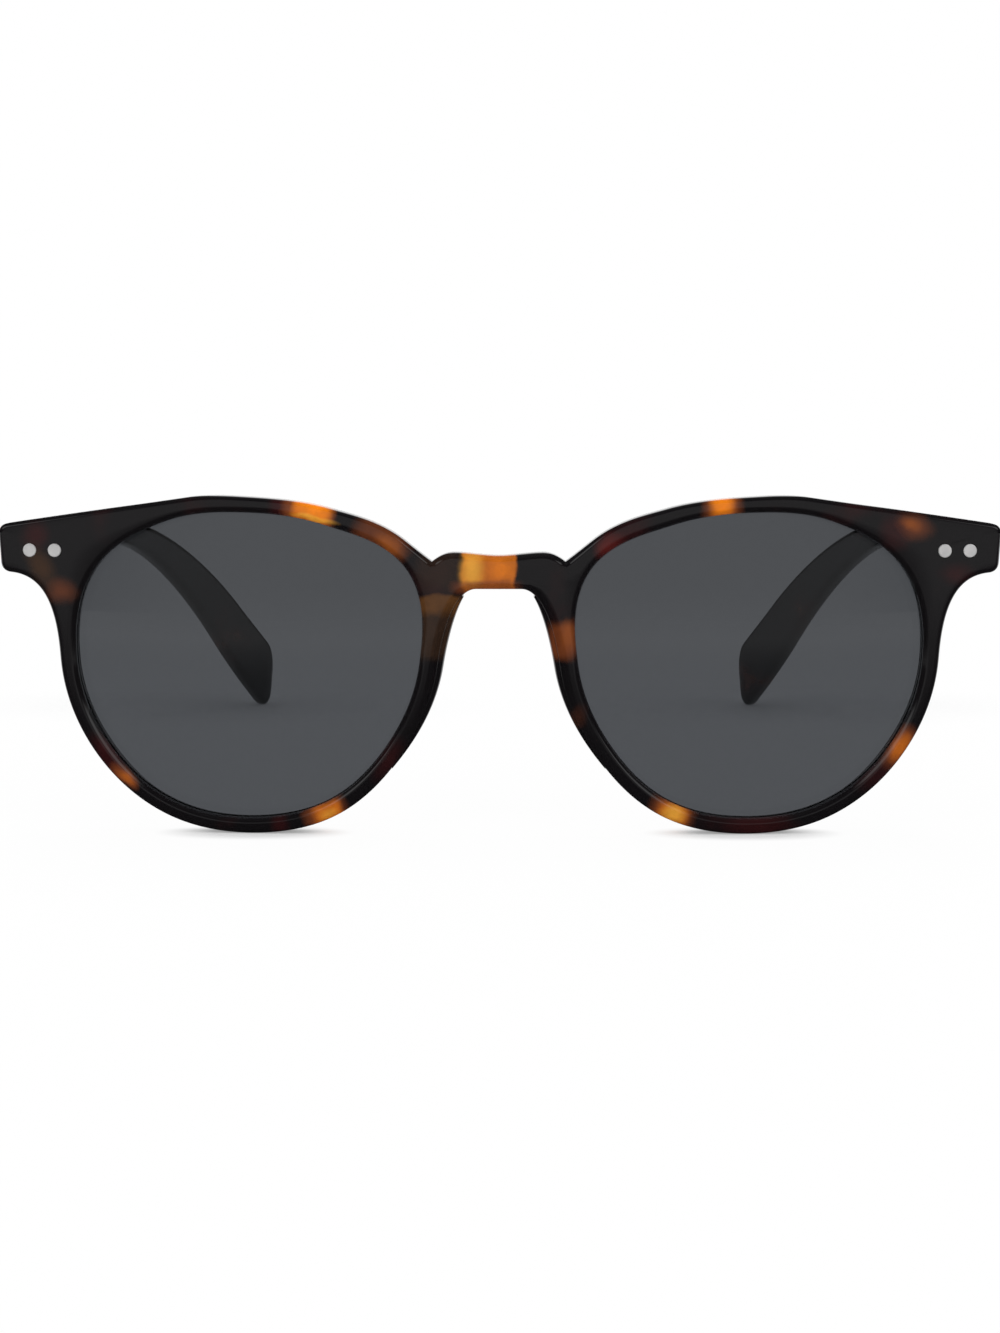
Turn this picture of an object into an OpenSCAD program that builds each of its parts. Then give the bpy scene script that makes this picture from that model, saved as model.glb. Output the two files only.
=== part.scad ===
// Round acetate sunglasses with open temples, resting on the rims and the temple tips.
// +X is to the wearer's left, -Y is the front, +Z is up, and the floor is z = 0.
// Every piece is drawn for the +X side and mirrored for the other one.

/* [Lenses] */
// Width of the lens opening
lens_w = 50.4; // [47:0.1:53]
// Height of the lens opening
lens_h = 43.6; // [41:0.1:46]
// Distance between the two lens centres
lens_spacing = 70.8; // [69:0.1:73]
// Radius of the lens front surface
lens_curve_r = 150; // [130:5:220]
// Thickness of a lens
lens_t = 1.8; // [1.4:0.1:2]
// How far the lens apex stands ahead of the rim's front face
lens_dome = 0.4; // [0.2:0.05:0.6]
// How far the lens edge goes into its groove
lens_seat = 0.65; // [0.4:0.05:0.8]

/* [Front] */
// Overall width across the end pieces
front_w = 142; // [140:0.5:145]
// Thickness of the rims and the bridge
front_t = 4; // [3.8:0.1:4.6]
// Radius of the front's wrap around the face
wrap_r = 700; // [550:10:1200]
// Width of a rim beside its lens
rim_w = 2.65; // [2.3:0.05:3.2]
// Width of a rim at the brow
rim_top_w = 2.15; // [1.8:0.05:2.6]
// Width of a rim below its lens
rim_low_w = 2.15; // [1.9:0.05:3]
// Width of the bevel round the lens opening
bevel_w = 0.6; // [0.4:0.05:1]
// Depth of the bevel round the lens opening
bevel_d = 0.55; // [0.3:0.05:0.7]
// Radius of the polished outer edges
edge_r = 0.7; // [0.4:0.05:1]

/* [Bridge] */
// Height of the bridge's top edge above the lens centres
bridge_rise = 15.25; // [14:0.05:16.2]
// Height of the bridge at its middle
bridge_h = 4.7; // [4:0.1:5.4]
// Depth of the notch between the bridge and each rim
notch_d = 1.3; // [0.8:0.1:1.8]

/* [End pieces] */
// Height of the end piece's upper corner above the lens centres
end_rise = 19.4; // [18.3:0.05:20.5]
// Height of an end piece at its outer end
end_h = 6.6; // [6.4:0.1:7.4]
// Thickness of an end piece at the hinge
end_t = 4.4; // [4.2:0.1:5]

/* [Temples] */
// Length of a temple along its centre line
temple_len = 140; // [134:1:147]
// Height of a temple at the hinge
temple_root_h = 6.6; // [6.2:0.1:7.2]
// Height of a temple at its slimmest
temple_slim_h = 4.2; // [4:0.1:5]
// Height of the temple tip
temple_tip_h = 10.4; // [8:0.1:11]
// Thickness of a temple at the hinge
temple_root_t = 3.9; // [3.8:0.1:4.4]
// Thickness of a temple behind the hinge
temple_t = 2.9; // [2.7:0.1:3.4]
// Distance from the tip at which a temple starts to bend down behind the ear
drop_start = 74; // [61:1:80]
// Radius of the bend behind the ear
drop_r = 74; // [60:1:90]
// Angle of the tip below the temple's straight run
drop_angle = 43; // [30:1:46]
// Distance from the tip at which a temple starts to curve in
curl_start = 87; // [71:1:95]
// Inward turn per millimetre behind that point
curl_rate = 0.385; // [0.2:0.005:0.42]

/* [Hinges] */
// Radius of a hinge knuckle
knuckle_r = 1.4; // [1.3:0.05:1.5]
// Height of a hinge knuckle
knuckle_h = 0.88; // [0.8:0.02:0.92]
// Radius of the hinge screw's shank
screw_r = 0.55; // [0.45:0.05:0.6]
// Radius of the hinge screw's head
screw_head_r = 1; // [0.85:0.05:1.05]
// Thickness of a hinge leaf
leaf_t = 0.9; // [0.7:0.05:1]
// Distance between the two rivets of a hinge leaf
rivet_pitch = 3.6; // [3.4:0.1:3.8]
// Radius of a rivet head
rivet_head_r = 0.94; // [0.8:0.02:1.1]
// Radius of a rivet shank
rivet_r = 0.45; // [0.35:0.05:0.5]

/* [Nose pads] */
// How far a nose pad stands behind the rim
pad_depth = 4.6; // [3:0.1:5.5]
// How far a nose pad stands out of the rim towards the nose
pad_swell = 1; // [0.6:0.1:1.2]

/* [Core wires] */
// Thickness of the wire inside a temple
wire_t = 1; // [0.8:0.1:1.1]
// Height of the wire inside a temple
wire_h = 1.8; // [1.4:0.1:2]

/* [Clearances] */
// Radial running clearance of the hinge screw
screw_gap = 0.05; // [0.03:0.01:0.08]
// Gap between two hinge knuckles
knuckle_gap = 0.05; // [0.04:0.01:0.08]
// Gap between a temple's butt face and its end piece
butt_gap = 0.12; // [0.1:0.01:0.2]
// Gap of inlaid leaves, rivets and core wires
inlay_gap = 0.03; // [0.02:0.01:0.05]
// Gap between a lens and the walls of its groove
seat_gap = 0.05; // [0.03:0.01:0.08]

/* [Hidden] */
$fn = 48;

// Lens radius at every 30 degrees from the temple side upwards, over half the lens width
lens_form = [0.981, 1.017, 0.915, 0.842, 0.89, 1.036, 0.96, 0.903, 0.899, 0.882, 0.909, 0.938];
form_step = 360 / len(lens_form);

// Where the rim is thinner and how far each thin stretch spreads, in degrees
brow_angle = 97;
brow_spread = 25;
low_angle = 300;
low_spread = 80;

// Angles round the lens at which the outline changes from one stretch to the next
brow_start_angle = 70;
end_top_angle = 37;
end_mid_angle = 31;
end_low_angle = 27;
under_angle = 2;
nasal_angle = 180;
arch_angle = 157;
plane_low_angle = 155.8;
plane_top_angle = 155.2;
shoulder_angle = 154.5;
notch_angle = 152;
rim_again_angle = 143;

// Shape of the bridge, from the middle of the front, over half the gap between the lenses
half_gap = (lens_spacing - lens_w) / 2;
arch_half_w = 0.3137 * half_gap;
shoulder_x = 0.608 * half_gap;
shoulder_rise = 0.45;
notch_x = 0.9214 * half_gap;

// Shape of the end pieces
end_slope = -8.5;
end_lean = 0.35;
end_corner_r = 1.4;
end_corner_out = 0.1;

// Lengths of the handles that bend the outline's curves
brow_handle = 11;
end_top_handle = 12;
end_low_handle = 4.5;
rim_handle = 7.5;
flank_handle = 5.5;
arch_handle = 2.8;
middle_handle = 2;
shoulder_in_handle = 1.8;
shoulder_out_handle = 1.2;
rim_again_handle = 1;
notch_in_handle = [-1.1, 0.85];
notch_out_handle = [0.9, 0.65];

// Where the back turns flat under the hinge
flat_from_x = 49;
flat_to_x = 57;

// Lens groove and edges
groove_d = lens_seat + 0.1;
back_edge_r = 0.4;
nasal_edge_r = 1.15;
nasal_edge_spread = 28;

// Hinge places on the +X side
end_x = front_w / 2;
hinge_in = 6.2;
hinge_x = end_x - hinge_in;
hinge_back = knuckle_r + 0.25;
leaf_gap = 0.3;
leaf_w = 7.6;
leaf_corner_r = 0.8;
hinge_drop = 0.25;
leaf_in = 6.3;
leaf_x = end_x - leaf_in;
head_t = 0.45;
head_proud = 0.12;
screw_head_t = 0.55;
slot_w = 0.28;
slot_d = 0.25;
web_w = 1.6;
leaf_edge = 0.1;
knuckle_pitch = knuckle_h + knuckle_gap;
leaf_h = 4 * knuckle_pitch + knuckle_h + 2 * leaf_edge;

// Temple places and the shape of its section
temple_leaf_len = 8.6;
temple_leaf_start = 0.5;
temple_leaf_h = 4.6;
temple_rivet_start = 3.3;
section_corner_r = 1.05;
corner_steps = 3;
taper_start = 12;
taper_len = 42;
tip_round = 3.4;
tip_power = 2.6;
tip_end_share = 0.2;
tip_thin_share = 0.55;
tip_slant = 0.7;
tip_slant_len = 17;
wire_start = 0.6;
wire_end = 14;
wire_up = 1.9;
wire_level_from = 9;
wire_level_to = 24;
wire_mouth = 0.4;
wire_spare = 0.5;
temple_step = 4.5;
straight_stations = [0, 3.5, 10, 18, 27, 36];
straight_end = 45;

// General curves
function mix(a, b, t) = a + (b - a) * t;
function smooth(t) = let (c = min(1, max(0, t))) c * c * (3 - 2 * c);
function turn(a) = a - 360 * floor((a + 180) / 360);
function bump(a, centre, spread) = exp(-pow(turn(a - centre) / spread, 2));
function unit(v) = v / norm(v);
function right_of(v) = [v[1], -v[0]];
function bezier(p, t) =
  pow(1 - t, 3) * p[0] + 3 * t * pow(1 - t, 2) * p[1] + 3 * t * t * (1 - t) * p[2] + pow(t, 3) * p[3];
function bezier_run(p, n) = [for (i = [0 : n - 1]) bezier(p, i / n)];
function line_run(a, b, n) = [for (i = [0 : n - 1]) mix(a, b, i / n)];
function corner_run(c, along, away, r, n) =
  [for (i = [0 : n]) let (t = i / n)
    pow(1 - t, 2) * (c - r * along) + 2 * t * (1 - t) * c + t * t * (c + r * away)];
function rounded_rect(w, h, r, n) =
  [for (q = [0 : 3], i = [0 : n])
    let (a = 90 * q + 90 * i / n, sx = (q == 0 || q == 3) ? 1 : -1, sy = q < 2 ? 1 : -1)
    [sx * (w / 2 - r) + r * cos(a), sy * (h / 2 - r) + r * sin(a)]];

// Lens outline about the lens centre, in the plane of the front
function form_at(i) = lens_form[(i + len(lens_form)) % len(lens_form)];
function form_radius(a) =
  let (u = (a - 360 * floor(a / 360)) / form_step, i = floor(u), t = u - i)
  let (p0 = form_at(i - 1), p1 = form_at(i), p2 = form_at(i + 1), p3 = form_at(i + 2))
  p1 + 0.5 * t * (p2 - p0 + t * (2 * p0 - 5 * p1 + 4 * p2 - p3 + t * (3 * (p1 - p2) + p3 - p0)));
form_heights = [for (a = [0 : 3 : 357]) form_radius(a) * sin(a)];
lens_stretch = lens_h / (lens_w / 2 * (max(form_heights) - min(form_heights)));
function lens_point(a) =
  let (r = form_radius(a) * lens_w / 2)
  [r * cos(a), r * sin(a) * lens_stretch];
function lens_way(a) = unit(lens_point(a - 0.5) - lens_point(a + 0.5));
function lens_normal(a) = -right_of(lens_way(a));
function rim_width(a) =
  rim_w + (rim_top_w - rim_w) * bump(a, brow_angle, brow_spread)
  + (rim_low_w - rim_w) * bump(a, low_angle, low_spread);
function rim_point(a) = lens_point(a) + rim_width(a) * lens_normal(a);
function rim_run(a, b, n) = [for (i = [0 : n - 1]) rim_point(mix(a, b, i / n))];

lens_x = lens_spacing / 2;
lens_z = -min([for (a = [250 : 1 : 290]) rim_point(a)[1]]);
function from_middle(x, rise) = [x - lens_x, rise];

// Outline of the front's +X half about the lens centre, clockwise from the brow
end_top = from_middle(end_x + end_corner_out, end_rise);
end_low = from_middle(end_x + end_corner_out - end_lean, end_rise - end_h);
end_way = [cos(end_slope), sin(end_slope)];
end_down = unit(end_low - end_top);
end_in = unit([-1, -0.1]);
brow_end = end_top - end_corner_r * end_way;
under_start = end_low + end_corner_r * end_in;
arch_low = from_middle(arch_half_w, bridge_rise - bridge_h);
plane_low = from_middle(0, bridge_rise - bridge_h);
plane_top = from_middle(0, bridge_rise);
shoulder = from_middle(shoulder_x, bridge_rise + shoulder_rise);
notch = from_middle(notch_x, bridge_rise + shoulder_rise - notch_d);
brow_curve = [rim_point(brow_start_angle),
  rim_point(brow_start_angle) + brow_handle * lens_way(brow_start_angle), brow_end - end_top_handle * end_way, brow_end];
under_curve = [under_start, under_start + end_low_handle * end_in,
  rim_point(under_angle) - rim_handle * lens_way(under_angle), rim_point(under_angle)];
flank_curve = [rim_point(nasal_angle), rim_point(nasal_angle) + flank_handle * lens_way(nasal_angle),
  arch_low + [arch_handle, 0], arch_low];
top_curve = [plane_top, plane_top + [middle_handle, 0], shoulder - [shoulder_in_handle, 0], shoulder];
roll_curve = [shoulder, shoulder + [shoulder_out_handle, 0], notch + notch_in_handle, notch];
rise_curve = [notch, notch + notch_out_handle,
  rim_point(rim_again_angle) - rim_again_handle * lens_way(rim_again_angle), rim_point(rim_again_angle)];

// Each stretch is its outer points and the angles of the lens edge that they pair with
function stretch(points, a, b) = [for (i = [0 : len(points) - 1]) [points[i], mix(a, b, i / len(points))]];
low_part = concat(
  stretch(bezier_run(brow_curve, 13), brow_start_angle, end_top_angle),
  stretch(corner_run(end_top, end_way, end_down, end_corner_r, 3), end_top_angle, end_mid_angle),
  stretch(corner_run(end_low, end_down, end_in, end_corner_r, 3), end_mid_angle, end_low_angle),
  stretch([for (i = [1 : 7]) bezier(under_curve, i / 8)], end_low_angle, under_angle),
  stretch(rim_run(under_angle, nasal_angle - 360, 30), under_angle, nasal_angle - 360),
  stretch(bezier_run(flank_curve, 8), nasal_angle, arch_angle),
  stretch(line_run(arch_low, plane_low, 2), arch_angle, plane_low_angle));
plane_part = stretch(line_run(plane_low, plane_top, 3), plane_low_angle, plane_top_angle);
top_part = concat(
  stretch(bezier_run(top_curve, 3), plane_top_angle, shoulder_angle),
  stretch(bezier_run(roll_curve, 4), shoulder_angle, notch_angle),
  stretch(bezier_run(rise_curve, 2), notch_angle, rim_again_angle),
  stretch(rim_run(rim_again_angle, brow_start_angle, 12), rim_again_angle, brow_start_angle));
stations = concat(low_part, plane_part, top_part);
station_count = len(stations);
plane_first = len(low_part);
plane_last = len(low_part) + len(plane_part);

// Faces of the front and the lens along Y
function front_y(x) = x * x / (2 * wrap_r);
butt_y = front_y(hinge_x) + end_t;
function back_y(x) =
  mix(front_y(x) + front_t, butt_y, smooth((abs(x) - flat_from_x) / (flat_to_x - flat_from_x)));
lens_tilt = atan(lens_x / wrap_r);
sphere_x = lens_x - lens_curve_r * sin(lens_tilt);
sphere_y = front_y(lens_x) - lens_dome + lens_curve_r * cos(lens_tilt);
function sphere_face_y(x, z, r) =
  sphere_y - sqrt(r * r - pow(x - sphere_x, 2) - pow(z - lens_z, 2));
function lens_front_y(x, z) = sphere_face_y(x, z, lens_curve_r);
function lens_back_y(x, z) = sphere_face_y(x, z, lens_curve_r - lens_t);

// Outward normal of the outline at a station; the middle plane of the bridge has none
function outline_normal(i) =
  i == plane_first ? [0, -1]
  : i == plane_last ? [0, 1]
  : i > plane_first && i < plane_last ? [0, 0]
  : let (n = station_count)
    -right_of(unit(stations[(i + 1) % n][0] - stations[(i + n - 1) % n][0]));
function nasal_share(i) = bump(stations[i][1], nasal_angle, nasal_edge_spread);
function station_edge_r(i) = mix(edge_r, nasal_edge_r, nasal_share(i));
function placed(q) = [q[0] + lens_x, q[1] + lens_z];
function at_front(q, dy) = let (p = placed(q)) [p[0], front_y(p[0]) + dy, p[1]];
function at_back(q, dy) = let (p = placed(q)) [p[0], back_y(p[0]) + dy, p[1]];
function at_lens_front(q) = let (p = placed(q)) [p[0], lens_front_y(p[0], p[1]) - seat_gap, p[1]];
function at_lens_back(q) = let (p = placed(q)) [p[0], lens_back_y(p[0], p[1]) + seat_gap, p[1]];

// Section of the front at a station: bevel, lens groove, back face, rounded outer edges
round_share = 0.3;
chamfer_share = 0.46;
function station_share(i) = mix(round_share, chamfer_share, nasal_share(i));
function front_section(i) =
  let (a = stations[i][1], p = lens_point(a), n = lens_normal(a), q = stations[i][0])
  let (m = outline_normal(i), r = station_edge_r(i), e = station_share(i) * r)
  [at_front(p + bevel_w * n, 0), at_front(p, bevel_d), at_lens_front(p), at_lens_front(p + groove_d * n),
   at_lens_back(p + groove_d * n), at_lens_back(p), at_back(p, -back_edge_r), at_back(p + back_edge_r * n, 0),
   at_back(q - r * m, 0), at_back(q - e * m, -e), at_back(q, -r),
   at_front(q, r), at_front(q - e * m, e), at_front(q - r * m, 0)];
section_rows = 14;
outer_edge_row = 8;

function is_joint(i, j) = i >= plane_first && i < plane_last && j >= outer_edge_row && j < section_rows - 1;
function quad(a, b, c, d) = [[a, b, c], [a, c, d]];
function flat_list(lists) = [for (l = lists, e = l) e];
half_points = flat_list([for (i = [0 : station_count - 1]) front_section(i)]);
half_faces = flat_list([for (i = [0 : station_count - 1], j = [0 : section_rows - 1])
  if (!is_joint(i, j))
    let (k = (i + 1) % station_count, l = (j + 1) % section_rows)
    quad(i * section_rows + j, k * section_rows + j, k * section_rows + l, i * section_rows + l)]);

module front_blank() {
  other_points = [for (p = half_points) [-p[0], p[1], p[2]]];
  shift = len(half_points);
  other_faces = [for (f = half_faces) [f[0] + shift, f[2] + shift, f[1] + shift]];
  polyhedron(concat(half_points, other_points), concat(half_faces, other_faces));
}

// Centre line of a temple, as [point, inward turn, downward turn] every half millimetre
line_step = 0.5;
line_count = ceil(temple_len / line_step);
drop_from = temple_len - drop_start;
curl_from = temple_len - curl_start;
drop_len = drop_r * drop_angle * PI / 180;
hinge_z = lens_z + end_rise - end_h / 2 - hinge_drop;
temple_in_x = hinge_x + knuckle_r + leaf_gap;
function down_turn(s) = drop_angle * min(1, max(0, (s - drop_from) / drop_len));
function in_turn(s) = curl_rate * max(0, s - curl_from);
function line_way(s) =
  let (a = in_turn(s), b = down_turn(s))
  [-sin(a) * cos(b), cos(a) * cos(b), -sin(b)];
raw_line = [for (i = 0, p = [temple_in_x + temple_root_t / 2, butt_y + butt_gap, hinge_z]; i <= line_count;
  p = p + line_step * line_way((i + 0.5) * line_step), i = i + 1) p];
function raw_point(s) =
  let (u = s / line_step, i = max(0, min(line_count - 1, floor(u))))
  mix(raw_line[i], raw_line[i + 1], u - i);
function temple_h(s) =
  s < drop_from ? mix(temple_root_h, temple_slim_h, smooth(s / drop_from))
  : mix(temple_slim_h, temple_tip_h, smooth((s - drop_from) / (drop_start - tip_round)));
function temple_thick(s) = mix(temple_root_t, temple_t, smooth((s - taper_start) / taper_len));
function out_way(s) = [cos(in_turn(s)), sin(in_turn(s)), 0];
function up_way(s) =
  let (a = in_turn(s), b = down_turn(s))
  [-sin(a) * sin(b), cos(a) * sin(b), cos(b)];

// The temple's outer face stays straight while it thins, so the centre line moves outwards
function thin_shift(s) = (temple_root_t - temple_thick(s)) / 2;
function tip_share(s) =
  let (u = max(0, (s - temple_len + tip_round) / tip_round))
  pow(max(pow(tip_end_share, tip_power), 1 - pow(u, tip_power)), 1 / tip_power);

// The tip is cut upright, so its rings turn against the slanting centre line
function tip_skew(s) = tip_slant * smooth((s - temple_len + tip_slant_len) / tip_slant_len);

// The whole temple leans down by the same share of its length, until the tips rest on the floor
function upright_point(s) = raw_point(s) + thin_shift(s) * out_way(s);
function upright_ring(s, size) =
  [for (q = rounded_rect(size[0], size[1], size[2], corner_steps))
    upright_point(s) + q[0] * out_way(s) + q[1] * (up_way(s) - tip_skew(s) * line_way(s))];
function leaned(p) = [p[0], p[1], p[2] - lean * (p[1] - butt_y)];

ring_size = 4 * (corner_steps + 1);

// Faces of a tube through rings that run anticlockwise as seen from its far end
function tube_walls(count, size) =
  flat_list([for (i = [0 : count - 2], j = [0 : size - 1]) let (l = (j + 1) % size)
    quad(i * size + j, i * size + l, (i + 1) * size + l, (i + 1) * size + j)]);
function tube_faces(count, size) = concat(
  [[for (j = [0 : size - 1]) size - 1 - j]],
  tube_walls(count, size),
  [[for (j = [0 : size - 1]) (count - 1) * size + j]]);

tip_angles = [0, 22, 38, 52, 64, 74, 83, 90];
bend_count = ceil((temple_len - tip_round - straight_end) / temple_step);
temple_stations = concat(
  straight_stations,
  [for (i = [0 : bend_count - 1]) mix(straight_end, temple_len - tip_round, i / bend_count)],
  [for (a = tip_angles) temple_len - tip_round * (1 - sin(a))]);
function temple_size(s) =
  let (share = tip_share(s), h = temple_h(s) * share, t = temple_thick(s) * mix(tip_thin_share, 1, share))
  [t, h, min(section_corner_r, 0.47 * h, 0.47 * t)];
upright_points = flat_list([for (s = temple_stations) upright_ring(s, temple_size(s))]);
lean = min([for (p = upright_points) if (p[1] > butt_y + drop_from) p[2] / (p[1] - butt_y)]);
temple_points = [for (p = upright_points) leaned(p)];

// The origin is under the middle of the object's box
centre_y = max([for (p = temple_points) p[1]]) / 2;

function wire_rise(s) = wire_up * (1 - smooth((s - wire_level_from) / (wire_level_to - wire_level_from)));
wire_stations = let (n = 26) [for (i = [0 : n]) mix(wire_start, temple_len - wire_end, i / n)];
module wire_bar(runs, gap) {
  rings = [for (s = runs) [for (q = [[1, 1], [-1, 1], [-1, -1], [1, -1]])
    leaned(upright_point(s) + q[0] * (wire_t / 2 + gap) * out_way(s)
    + (q[1] * (wire_h / 2 + gap) + wire_rise(s)) * up_way(s))]];
  polyhedron(flat_list(rings), tube_faces(len(runs), 4));
}

// How far a cutting shape reaches past the face it cuts
over = 1;

// Small shapes
module along_y() { rotate([-90, 0, 0]) children(); }
module in_place() { translate([0, -centre_y, 0]) children(); }
module other_side() { mirror([1, 0, 0]) children(); }
module sided(left) {
  if (left) in_place() children();
  else other_side() in_place() children();
}
module plate(w, h, t, r) { linear_extrude(t) polygon(rounded_rect(w, h, r, 4)); }

// Hinge shared places
rivet_z = hinge_z;
hinge_y = butt_y + hinge_back;
function knuckle_z(k) = hinge_z + (k - 2) * knuckle_pitch - knuckle_h / 2;
function rivet_x(k) = leaf_x + (k - 0.5) * rivet_pitch;
function temple_rivet_y(k) = butt_y + butt_gap + temple_rivet_start + k * rivet_pitch;

// A rivet along +Z from its head's outer face at z = 0
module rivet(length, gap, open) {
  translate([0, 0, -open]) cylinder(r = rivet_head_r + gap, h = head_t + gap + open);
  cylinder(r = rivet_r + gap, h = length + open);
}
module rivet_solid(length) {
  chamfer = 0.1;
  cylinder(r1 = rivet_head_r - chamfer, r2 = rivet_head_r, h = chamfer);
  translate([0, 0, chamfer]) cylinder(r = rivet_head_r, h = head_t - chamfer);
  translate([0, 0, head_t]) cylinder(r = rivet_r, h = length - head_t);
}
module at_front_rivet(k) {
  x = rivet_x(k);
  translate([x, front_y(x) - head_proud, rivet_z]) along_y() children();
}
function front_rivet_len(k) = butt_y - front_y(rivet_x(k)) + head_proud;
temple_out_x = temple_in_x + temple_root_t;
temple_rivet_len = temple_root_t + head_proud;
module at_temple_rivet(k) {
  translate([temple_out_x + head_proud, temple_rivet_y(k), rivet_z]) rotate([0, -90, 0]) children();
}

// Leaf plates in their pockets; gap widens the plate to its pocket
module front_plate(gap) {
  translate([leaf_x, butt_y + over, rivet_z]) rotate([90, 0, 0])
    plate(leaf_w + 2 * gap, leaf_h + 2 * gap, leaf_t + over + gap, leaf_corner_r);
}
module temple_plate(gap) {
  y = butt_y + butt_gap + temple_leaf_start + temple_leaf_len / 2;
  translate([temple_in_x - over, y, rivet_z]) rotate([90, 0, 90])
    plate(temple_leaf_len + 2 * gap, temple_leaf_h + 2 * gap, leaf_t + over + gap, leaf_corner_r);
}
module knuckle(k) {
  translate([hinge_x, hinge_y, knuckle_z(k)]) cylinder(r = knuckle_r, h = knuckle_h);
}
module screw_bore() {
  translate([hinge_x, hinge_y, hinge_z - leaf_h]) cylinder(r = screw_r + screw_gap, h = 2 * leaf_h);
  translate([hinge_x, hinge_y, knuckle_z(4) + knuckle_h - screw_head_t - screw_gap])
    cylinder(r = screw_head_r + screw_gap, h = leaf_h);
}

// The acetate front, with grooves for the lenses, leaf pockets and rivet bores
module front_frame() {
  color([0.12, 0.08, 0.08]) in_place() difference() {
    front_blank();
    for (side = [0, 1]) mirror([side, 0, 0]) {
      intersection() {
        front_plate(inlay_gap);
        translate([0, butt_y - 2 * leaf_t, 0]) cube([end_x, 4 * leaf_t, 3 * end_rise]);
      }
      for (k = [0, 1]) at_front_rivet(k) rivet(front_rivet_len(k) + over, inlay_gap, over);
    }
  }
}

// A lens is a spherical shell cut to the opening's outline and its seat in the groove
module lens(left) {
  outline = [for (a = [0 : 5 : 355]) placed(lens_point(a) + lens_seat * lens_normal(a))];
  color([0.3, 0.3, 0.32, 0.8]) sided(left) intersection() {
    translate([0, lens_w / 2, 0]) rotate([90, 0, 0]) linear_extrude(lens_w) polygon(outline);
    translate([sphere_x, sphere_y, lens_z]) difference() {
      sphere(r = lens_curve_r, $fn = 180);
      sphere(r = lens_curve_r - lens_t, $fn = 180);
    }
  }
}

// A nose pad is glued to the nasal flank and back of its rim, and fades out at both ends
pad_first = plane_first - 4;
pad_count = 13;
pad_foot = 2.3;
pad_end_foot = 0.4;
function pad_ring(i) =
  let (k = pad_first - i, q = stations[k][0], m = outline_normal(k), g = inlay_gap)
  let (r = station_edge_r(k), e = station_share(k) * r)
  let (u = i / (pad_count - 1), fade = pow(sin(180 * mix(0.04, 0.97, u)), 0.7))
  let (swell = pad_swell * mix(1, 0.35, u) * fade)
  let (depth = pad_depth * fade, foot = mix(r + pad_end_foot, pad_foot, fade))
  [at_front(q + g * m, r), at_front(q + (g + swell) * m, r + 0.9 * swell + 0.1),
   at_back(q + (g + 0.9 * swell) * m, -0.4),
   at_back(q + (g + 0.3 * swell - 0.25 * depth) * m, 0.7 * depth),
   at_back(q - 0.36 * depth * m, g + 0.97 * depth),
   at_back(q - (0.4 * depth + 0.3) * m, g + depth), at_back(q - (foot + 0.05 * depth) * m, g + 0.9 * depth),
   at_back(q - foot * m, g), at_back(q - r * m, g),
   at_back(q - (e - g) * m, g - e), at_back(q + g * m, -r)];

// A pad's end wraps round the rim's edge, so its triangles join the pad's outer side to its inner side
pad_end = [
  [0, 1, 10], [1, 2, 10], [2, 9, 10], [2, 3, 9], [3, 8, 9], [3, 4, 8], [4, 5, 8], [5, 7, 8], [5, 6, 7]
];
module nose_pad(left) {
  rings = [for (i = [1 : pad_count]) pad_ring(pad_count - i)];
  size = len(rings[0]);
  far = (pad_count - 1) * size;
  faces = concat(
    [for (f = pad_end) [f[2], f[1], f[0]]],
    tube_walls(pad_count, size),
    [for (f = pad_end) [f[0] + far, f[1] + far, f[2] + far]]);
  color([0.25, 0.13, 0.08]) sided(left) polyhedron(flat_list(rings), faces);
}

module front_leaf(left) {
  color("silver") sided(left) difference() {
    union() {
      intersection() {
        front_plate(0);
        translate([0, butt_y - 2 * leaf_t, 0]) cube([end_x, 2 * leaf_t, 3 * end_rise]);
      }
      for (k = [0, 2, 4]) {
        knuckle(k);
        translate([hinge_x - web_w / 2, butt_y - leaf_t / 2, knuckle_z(k)])
          cube([web_w, hinge_back + leaf_t / 2, knuckle_h]);
      }
    }
    screw_bore();
    for (k = [0, 1]) at_front_rivet(k) cylinder(r = rivet_r + inlay_gap, h = front_rivet_len(k) + over);
  }
}

module temple_leaf(left) {
  color("silver") sided(left) difference() {
    union() {
      intersection() {
        temple_plate(0);
        translate([temple_in_x, 0, 0]) cube([2 * leaf_t, 4 * end_x, 3 * end_rise]);
      }
      for (k = [1, 3]) {
        knuckle(k);
        translate([hinge_x, hinge_y, knuckle_z(k)])
          cube([temple_in_x - hinge_x + leaf_t / 2, knuckle_r, knuckle_h]);
      }
    }
    screw_bore();
    for (k = [0, 1]) at_temple_rivet(k) cylinder(r = rivet_r + inlay_gap, h = temple_rivet_len + over);
  }
}

module hinge_screw(left) {
  low = knuckle_z(0);
  high = knuckle_z(4) + knuckle_h;
  color("gainsboro") sided(left) translate([hinge_x, hinge_y, 0]) difference() {
    union() {
      translate([0, 0, low]) cylinder(r = screw_r, h = high - screw_head_t - low);
      translate([0, 0, high - screw_head_t]) cylinder(r = screw_head_r, h = screw_head_t);
    }
    translate([-2 * screw_head_r, -slot_w / 2, high - slot_d]) cube([4 * screw_head_r, slot_w, over]);
  }
}

module front_rivet(left, k) {
  color("gainsboro") sided(left) at_front_rivet(k) rivet_solid(front_rivet_len(k));
}

module temple_rivet(left, k) {
  color("gainsboro") sided(left) at_temple_rivet(k) rivet_solid(temple_rivet_len);
}

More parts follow.
